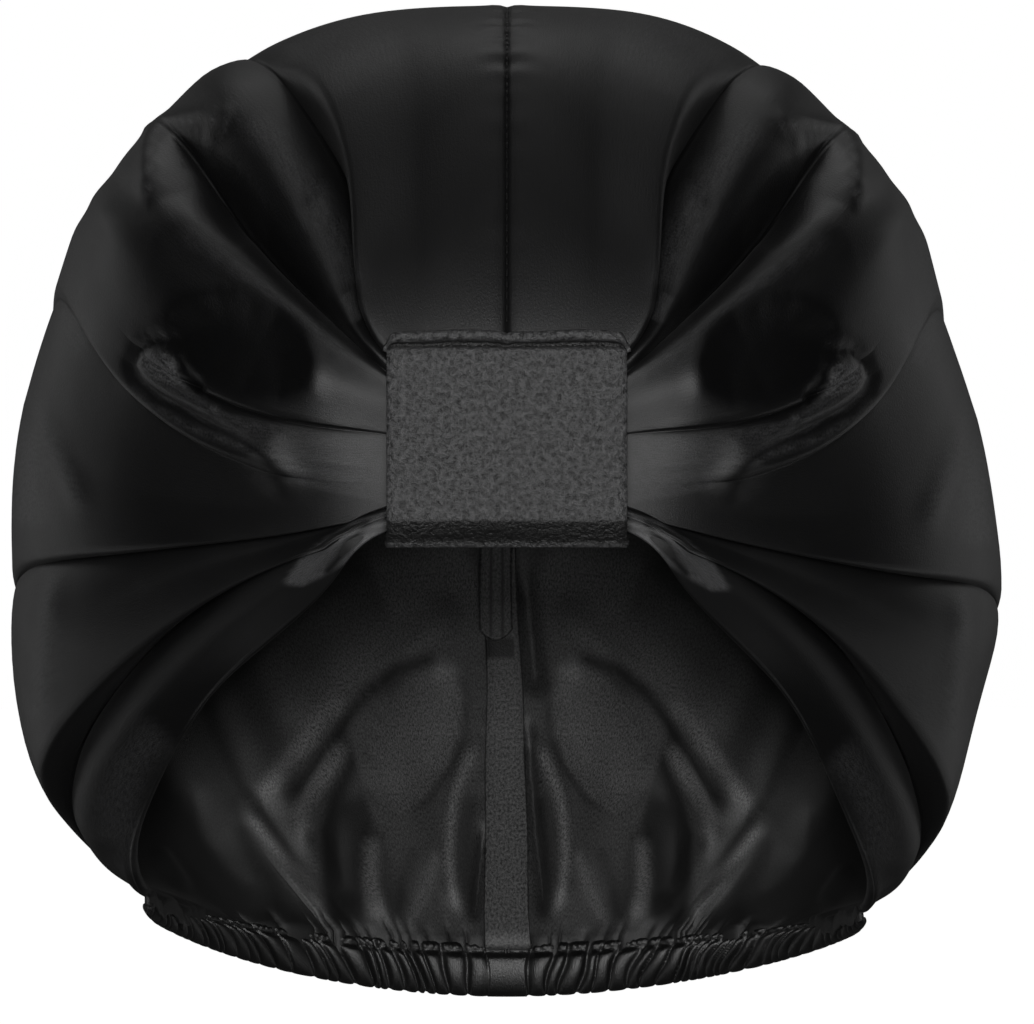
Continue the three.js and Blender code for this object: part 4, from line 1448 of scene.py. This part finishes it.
class NapeGathers:
    """The pleats that the elastic draws up, at the same places in the panels and in the casing."""

    def __init__(self, seed: int, plain: float, narrowest: float, widest: float) -> None:
        """Shares the pleats out along the nape, unevenly as gathers fall.

        Args:
            seed: sets their chances, the same at each run.
            plain: half the width of the flat place at the middle.
            narrowest: the narrowest pleat.
            widest: the widest pleat.
        """
        self.plain = 1.6 * plain         # a gap wider than this is the plain place
        chance = np.random.default_rng(seed)
        sides = []
        for side in Side:
            gaps = chance.uniform(narrowest, widest, 120)       # more than ever fit
            places = plain + np.cumsum(gaps)
            sides.append(side.value * places[places < NAPE_HALF_LENGTH])
        self.places = np.sort(np.concatenate([*sides, [-plain, plain]]))
        self.depths = chance.uniform(0.6, 1.0, len(self.places))
        self.skews = chance.uniform(0.5, 2.0, len(self.places))
        self.reaches = chance.uniform(2.5, 8, len(self.places))
        self.reaches *= 1 + 1.2 * ramp(np.abs(self.places), 60, 115)

    def at(self, place: np.ndarray) -> tuple[np.ndarray, np.ndarray]:
        """Reads the pleats.

        Args:
            place: the place round the nape from the middle, in millimetres.

        Returns:
            How deep in a valley each place lies, from 0 to 1, and how far its valley reaches.
        """
        i = np.clip(np.searchsorted(self.places, place) - 1, 0, len(self.places) - 2)
        gap = self.places[i + 1] - self.places[i]
        after = np.clip((place - self.places[i]) / gap, 0, 1) ** self.skews[i]
        nearest = np.where(after < 0.5, i, i + 1)
        away = np.minimum(after, 1 - after) * gap
        rounding = (1 - np.clip(2 * away / gap, 0, 1)) ** 2.4       # the pleat's round side
        narrow = np.exp(-(away / 0.34) ** 2)                        # the nip between two pleats
        valley = self.depths[nearest] * (0.5 * rounding + 0.5 * narrow)
        return np.where(gap > self.plain, 0.0, valley), self.reaches[nearest]


def nape_length(angle: np.ndarray) -> np.ndarray:
    """Turns angles round the nape into lengths.

    Args:
        angle: 0 at the middle of the back, a quarter turn at the ends beside the face.

    Returns:
        How far from the middle each angle lies, in millimetres.
    """
    table = np.linspace(-math.pi / 2, math.pi / 2, 361)
    centre, _, _ = NapeCasing.section(table)
    way = way_along(centre)
    return np.interp(angle, table, way - way[-1] / 2)


# A casing of flat cloth is this many times as long as it is gathered, and this wide unfolded.
CASING_FULLNESS = 1.8
CASING_CLOTH = 32.0
GATHERS = NapeGathers(seed=5, plain=5.0, narrowest=1.8, widest=6.2)


@dataclass
class NapeCasing:
    """The satin casing that the elastic gathers, from one side of the face round the nape.

    Attributes:
        steps: steps round the nape.
        sides: steps round the tube.
        depth: how deep the gathers are, as a share of the tube.
        seam_height: how far up the tube the row of stitches runs, from -1 to 1.
    """

    steps: int = 1200
    sides: int = 64
    depth: float = 0.98
    seam_height: float = 0.66

    @staticmethod
    def section(angle: np.ndarray) -> tuple[np.ndarray, np.ndarray, np.ndarray]:
        """Gives the casing's middle and half its height and depth.

        Args:
            angle: 0 at the middle of the back, a quarter turn at the ends beside the face.

        Returns:
            The middle, half the height and half the depth.
        """
        to_back = np.maximum(np.cos(angle), 0)
        drop = to_back ** CASING_DROP
        centre = np.stack([
            NAPE_HALF_WIDTH * np.sin(angle),
            mix(NAPE_FRONT, NAPE_BACK, to_back),
            mix(CASING_END_HEIGHT, CASING_BACK_HEIGHT, drop),
        ], axis=-1)
        return centre, mix(2.4, 6.7, drop), mix(1.8, 2.8, to_back)

    def build(self) -> bpy.types.Object:
        """Makes the gathered tube.

        Returns:
            The casing.
        """
        angle = np.linspace(-math.pi / 2, math.pi / 2, self.steps + 1)
        turn = np.linspace(0, 2 * math.pi, self.sides + 1)
        s, t = np.meshgrid(nape_length(angle), turn, indexing="ij")
        points = self.points(np.broadcast_to(angle[:, None], s.shape), s, t)
        points[:, -1] = points[:, 0]
        cloth = np.stack([s * CASING_FULLNESS, t / (2 * math.pi) * CASING_CLOTH], axis=-1) * MM
        casing = cloth_grid("nape_gathers", points, cloth, join=True)
        self.close_ends(casing)
        return casing

    def points(self, angle: np.ndarray, s: np.ndarray, t: np.ndarray) -> np.ndarray:
        """Works out points of the gathered tube.

        Args:
            angle: where they lie round the nape.
            s: the same place as a length from the middle.
            t: the turn round the tube, 0 at its outside.

        Returns:
            The points in millimetres.
        """
        centre, half_height, half_depth = self.section(angle)
        up = np.sin(t)
        # The pleats slant: their upper ends lie further from the middle.
        slanted = s - 4.6 * up * np.tanh(s / 45) + 0.5 * np.sin(up * 2.5 + s / 3.7)
        valley, _ = GATHERS.at(slanted)
        gathered = ramp(np.abs(s), 4, 6)
        lumps = 0.5 + 0.5 * np.sin(2 * math.pi * s / 1.9 + 2 * np.sin(s / 2.6))
        ruffle = 0.3 * lumps * ramp(up, self.seam_height, 0.9) * gathered
        pinch = 0.45 * np.exp(-((up - self.seam_height) / 0.12) ** 2)
        drawn = self.depth * valley * gathered
        taper = 1 - 0.35 * ramp(np.abs(angle), 1.3, math.pi / 2)
        deep = half_depth * np.cos(t) * (1.2 - drawn - ruffle) * (1 - pinch) * taper
        high = half_height * up * (1 - 0.09 * valley * gathered) * taper
        out = np.stack([np.sin(angle), np.cos(angle), np.zeros_like(angle)], axis=-1)
        points = centre + out * deep[..., None]
        points[..., 2] += high
        return lopside(points)

    def seam(self) -> np.ndarray:
        """Gives the line of the stitches, on the face of the casing that shows from the front.

        Returns:
            The line's points in millimetres.
        """
        angle = np.linspace(-1.5, 1.5, 900)
        turn = np.full_like(angle, math.pi - math.asin(self.seam_height))
        return self.points(angle, nape_length(angle), turn)

    @staticmethod
    def close_ends(casing: bpy.types.Object) -> None:
        """Fills the two open ends of the tube.

        Args:
            casing: the tube.
        """
        with edited(casing.data) as tube:
            edges = [edge for edge in tube.edges if edge.is_boundary]
            bmesh.ops.holes_fill(tube, edges=edges)
            bmesh.ops.recalc_face_normals(tube, faces=tube.faces)


# ---- the seam inside ---------------------------------------------------------------------------


@dataclass
class InsideStrip:
    """A strip of cloth that lies inside the centre seam.

    Attributes:
        name: the piece's name.
        form: the bonnet's form.
        edges: its left and right edges, each with its place on the way from loop to nape.
        depth: how far it lies under the outside of the panels.
        wall: its thickness.
        rows: steps along it.
        columns: steps across it.
        end_round: how far its end is rounded.
        stitched: where its lines of stitches show as darker lines.
        painted_shadow: where along it the painted shadow lies, where the piece that lies on it
            keeps off the light.
    """

    name: str
    form: BonnetForm
    edges: tuple[tuple[float, float, float], ...]
    depth: float
    wall: float
    rows: int = 240
    columns: int = 36
    end_round: float = 0.0
    stitched: tuple[float, ...] = ()
    painted_shadow: tuple[float, float] | None = None

    def build(self) -> bpy.types.Object:
        """Makes the strip's mesh and its wall.

        Returns:
            The strip.
        """
        places, left, right = np.array(self.edges).T
        start, end = places[0], places[-1]
        rows = np.linspace(start, end, self.rows + 1)
        left, right = (np.interp(rows, places, edge)[:, None] for edge in (left, right))
        share = np.linspace(0, 1, self.columns + 1)
        along = np.broadcast_to(rows[:, None], (len(rows), len(share))).copy()
        if self.end_round:
            bow = (1 - (2 * share - 1) ** 2)[None, :] * self.end_round
            along += bow * ramp(rows, start, end)[:, None]
        x = mix(left, right, share[None, :]) + self.sway(rows)[:, None]
        crown = LINES[1]
        sewn = np.minimum(along, 1)
        crown_x = self.form.point(np.full(along.shape, crown.across), sewn)[..., 0]
        across = crown.across * x / crown_x
        outward, _ = self.form.directions(across, sewn)
        edge = np.abs(2 * share - 1)[None, :]
        curl = -0.35 * edge ** 4 + 0.1 * np.sin(rows * 95)[:, None] * edge ** 2
        points = self.form.point(across, sewn) + outward * (curl - self.depth)[..., None]
        # Its end goes straight down into the casing.
        points[..., 2] -= (along - sewn) * CLOTH_LENGTH
        cloth = np.stack(np.broadcast_arrays(x, along * CLOTH_LENGTH), axis=-1) * MM
        # Painted light: a painted highlight over the whole strip, darker along the stitch lines,
        # with a painted shadow where the tab's end lies on it.
        painted_light = np.full(x.shape, STRIP_PAINTED_LIGHT)
        for line in self.stitched:
            painted_light -= 0.6 * np.exp(-((x - line) / 0.5) ** 2)
        if self.painted_shadow:
            first, last = self.painted_shadow
            shadow = ramp(along, first, first + 0.002) * ramp(along, last, last - 0.003)
            painted_light -= 0.8 * shadow * ramp(x, 2.4, 1.4)
        strip = cloth_grid(self.name, points, cloth, painted_layers={Part.BACK.value: painted_light})
        give_wall(strip, self.wall)
        return strip

    @staticmethod
    def sway(rows: np.ndarray) -> np.ndarray:
        """Lets the strip wander a little to either side."""
        return 0.35 * np.sin(rows * 31) + 0.2 * np.sin(rows * 67 + 1)


STRIP_PAINTED_LIGHT = 0.62       # the painted highlight over the whole strip and tab
STRIP_EDGES = ((0.16, -6.3, 3.6), (0.76, -6.3, 2.4), (0.84, -6.0, 3.2), (0.917, -5.6, 5.0),
               (1.008, -5.4, 6.2))
TAB_EDGES = ((0.765, -7.2, 1.5), (0.825, -7.6, 1.4))


# ---- stitches ----------------------------------------------------------------------------------


SEAM_STITCHED = (0.085, 0.9)     # the way along the cloth that the seam's stitches show
SEAM_SINK = 0.45                 # how far they lie sunk in it


@dataclass
class StitchRow:
    """A row of stitches along a line of points.

    Attributes:
        name: the piece's name.
        pitch: from one stitch to the next.
        length: each stitch's length.
        radius: the thread's radius, about twice the real one so that it shows.
    """

    name: str
    pitch: float = 2.9
    length: float = 2.1
    radius: float = 0.2

    def build(self, line: np.ndarray) -> bpy.types.Object:
        """Makes the stitches as one mesh.

        Args:
            line: the points that the row runs through, in millimetres.

        Returns:
            The stitches.
        """
        mesh = bpy.data.meshes.new(self.name)
        shape = Matrix.Diagonal((self.radius, self.radius, self.length / 2, 1))
        with edited(mesh) as stitches:
            for here, ahead in self.spaced(place_points(line) / MM):
                turn = (ahead - here).to_track_quat("Z", "Y").to_matrix().to_4x4()
                matrix = Matrix.Scale(MM, 4) @ Matrix.Translation(here) @ turn @ shape
                bmesh.ops.create_uvsphere(stitches, u_segments=6, v_segments=4, radius=1,
                                          matrix=matrix)
        mesh.shade_smooth()
        return add_object(self.name, mesh)

    def spaced(self, line: np.ndarray) -> list[tuple[Vector, Vector]]:
        """Spaces the stitches out.

        Args:
            line: the points that the row runs through.

        Returns:
            Each stitch's middle and a point just ahead of it.
        """
        way = way_along(line)
        middles = np.arange(self.pitch / 2, way[-1], self.pitch)
        here, ahead = (np.stack([np.interp(m, way, line[:, i]) for i in range(3)], axis=-1)
                       for m in (middles, middles + 0.2))
        return [(Vector(a), Vector(b)) for a, b in zip(here, ahead)]


# ---- the stage ---------------------------------------------------------------------------------


@dataclass(frozen=True)
class Softbox:
    """A soft studio light, aimed at the bonnet, that the camera doesn't see.

    Attributes:
        name: the light's name.
        place: where it stands, in metres.
        size: its width and height.
        glow: how bright its face is.
    """

    name: str
    place: tuple[float, float, float]
    size: tuple[float, float]
    glow: float

    def build(self, target: Vector) -> None:
        """Sets up the light.

        Args:
            target: what it is aimed at.
        """
        light = bpy.data.lights.new(self.name, "AREA")
        light.shape = "RECTANGLE"
        light.size, light.size_y = self.size
        light.energy = self.glow * math.pi * self.size[0] * self.size[1]
        lamp = add_object(self.name, light)
        lamp.location = self.place
        lamp.rotation_euler = (target - Vector(self.place)).to_track_quat("-Z", "Y").to_euler()
        lamp.visible_camera = False


SOFTBOXES = (
    Softbox("front_softbox", (0.0, -3.0, 0.25), (0.45, 0.45), 34.0),
    Softbox("wide_front_softbox", (0.0, -2.6, 0.1), (1.4, 1.4), 1.2),
    Softbox("low_softbox", (0.0, -2.2, -1.1), (2.0, 0.8), 0.5),
    Softbox("top_softbox", (0.0, -0.2, 2.3), (1.8, 1.4), 0.3),
    *(Softbox(f"{side.name.lower()}_{name}_softbox", (side.value * x, y, z), size, glow)
      for name, (x, y, z), size, glow in (
          ("low", (1.7, 0.3, -1.0), (0.8, 0.8), 0.45),
          ("edge", (1.5, 1.4, -0.5), (0.7, 0.8), 0.5),
          ("rim", (1.6, 1.6, 0.6), (0.8, 1.4), 0.5))
      for side in Side),
    Softbox("back_rim_softbox", (0.0, 1.6, 1.8), (1.6, 0.8), 0.7),
)


FLOOR_GAP = 0.12     # the bonnet is held this far above the floor, as on a head


def build_stage(target: Vector) -> None:
    """Makes the floor, the white surround and the lights.

    Args:
        target: the middle of the bonnet.
    """
    mesh = bpy.data.meshes.new("floor")
    with edited(mesh) as ground:
        bmesh.ops.create_grid(ground, x_segments=1, y_segments=1, size=20)
    mesh.transform(Matrix.Translation((0, 0, CAD_BOX[0][2] - FLOOR_GAP)))
    floor = add_object("floor", mesh)
    pale = bpy.data.materials.new("pale_floor_paint")
    pale.use_nodes = True
    shader = pale.node_tree.nodes["Principled BSDF"]
    shader.inputs["Base Color"].default_value = linear_colour("f2f2f2")
    shader.inputs["Roughness"].default_value = 0.9
    shader.inputs["Emission Color"].default_value = linear_colour("ffffff")
    shader.inputs["Emission Strength"].default_value = 1.0
    mesh.materials.append(pale)
    floor.visible_glossy = False
    floor.visible_diffuse = False
    floor.visible_shadow = False         # the low softbox shines through it

    world = bpy.data.worlds.new("studio")
    bpy.context.scene.world = world
    world.use_nodes = True
    tree = world.node_tree
    tree.nodes.clear()
    seen = add_node(tree, "ShaderNodeLightPath").outputs["Is Camera Ray"]
    white = add_node(tree, "ShaderNodeBackground", {"Color": (1, 1, 1, 1), "Strength": 1.0})
    dim = add_node(tree, "ShaderNodeBackground", {"Color": (1, 1, 1, 1), "Strength": 0.02})
    both = add_node(tree, "ShaderNodeMixShader",
                    {0: seen, 1: dim.outputs[0], 2: white.outputs[0]})
    add_node(tree, "ShaderNodeOutputWorld", {"Surface": both.outputs[0]})
    for softbox in SOFTBOXES:
        softbox.build(target)


def build_camera(target: Vector) -> None:
    """Sets up a long lens, level with the middle of the bonnet, straight in front of it.

    Args:
        target: the middle of the view.
    """
    distance = VIEW_DISTANCE * MM
    data = bpy.data.cameras.new("camera")
    data.sensor_width = 36.0
    data.lens = data.sensor_width * VIEW_DISTANCE / VIEW_WIDTH
    data.clip_end = 100.0
    camera = add_object("camera", data)
    camera.location = target + Vector((0, -distance, 0))
    camera.rotation_euler = (math.radians(90), 0, 0)
    bpy.context.scene.camera = camera
    bpy.context.scene.view_settings.view_transform = "Standard"


# ---- the bonnet --------------------------------------------------------------------------------


def main() -> None:
    """Builds the bonnet's pieces in order, dresses them and sets up the stage."""
    logging.basicConfig(level=logging.INFO, format="%(message)s")
    form = BonnetForm()
    panel_satin = PANEL_SATIN.build()
    panel_reverse = PANEL_REVERSE.build()
    thread = THREAD.build()
    for side in Side:
        panel = CrownPanel(side, form).build()
        dress(panel, panel_satin, "satin", f"crown_{side.name.lower()}", inside=panel_reverse)
    loop = FrontLoop().build()
    dress(loop, LOOP_SATIN.build(), "satin_loop", "front_loop")
    nape = NapeCasing()
    casing = nape.build()
    dress(casing, CASING_SATIN.build(), "satin_casing", "nape_casing")
    reverse = REVERSE_SATIN.build()
    # The strip carries a painted highlight, with a painted shadow under the tab's end.
    strip = InsideStrip("seam_strip", form, STRIP_EDGES, depth=1.8, wall=1.0,
                        painted_shadow=(0.828, 0.842)).build()
    dress(strip, reverse, "satin_reverse", "seam_allowance")
    tab = InsideStrip("strip_tab", form, TAB_EDGES, depth=3.45, wall=1.2, rows=60,
                      end_round=0.006, stitched=(-4.6, -1.3)).build()
    dress(tab, reverse, "satin_reverse", "seam_tab")

    rows = np.linspace(*SEAM_STITCHED, 400)
    seam = form.point(np.zeros_like(rows), rows)
    outward, _ = form.directions(np.zeros_like(rows), rows)
    stitches = StitchRow("seam_stitches").build(seam - outward * SEAM_SINK)
    dress(stitches, thread, "satin")
    nape_stitches = StitchRow("nape_stitches", pitch=2.4, length=1.5).build(nape.seam())
    dress(nape_stitches, thread, "satin_casing")

    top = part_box("crown_left")[1][2] - CROWN_RISE * MM
    target = Vector((VIEW_RIGHT * MM, 0, top + VIEW_HEIGHT * MM))
    build_stage(target)
    build_camera(target)


if __name__ == "__main__":
    main()
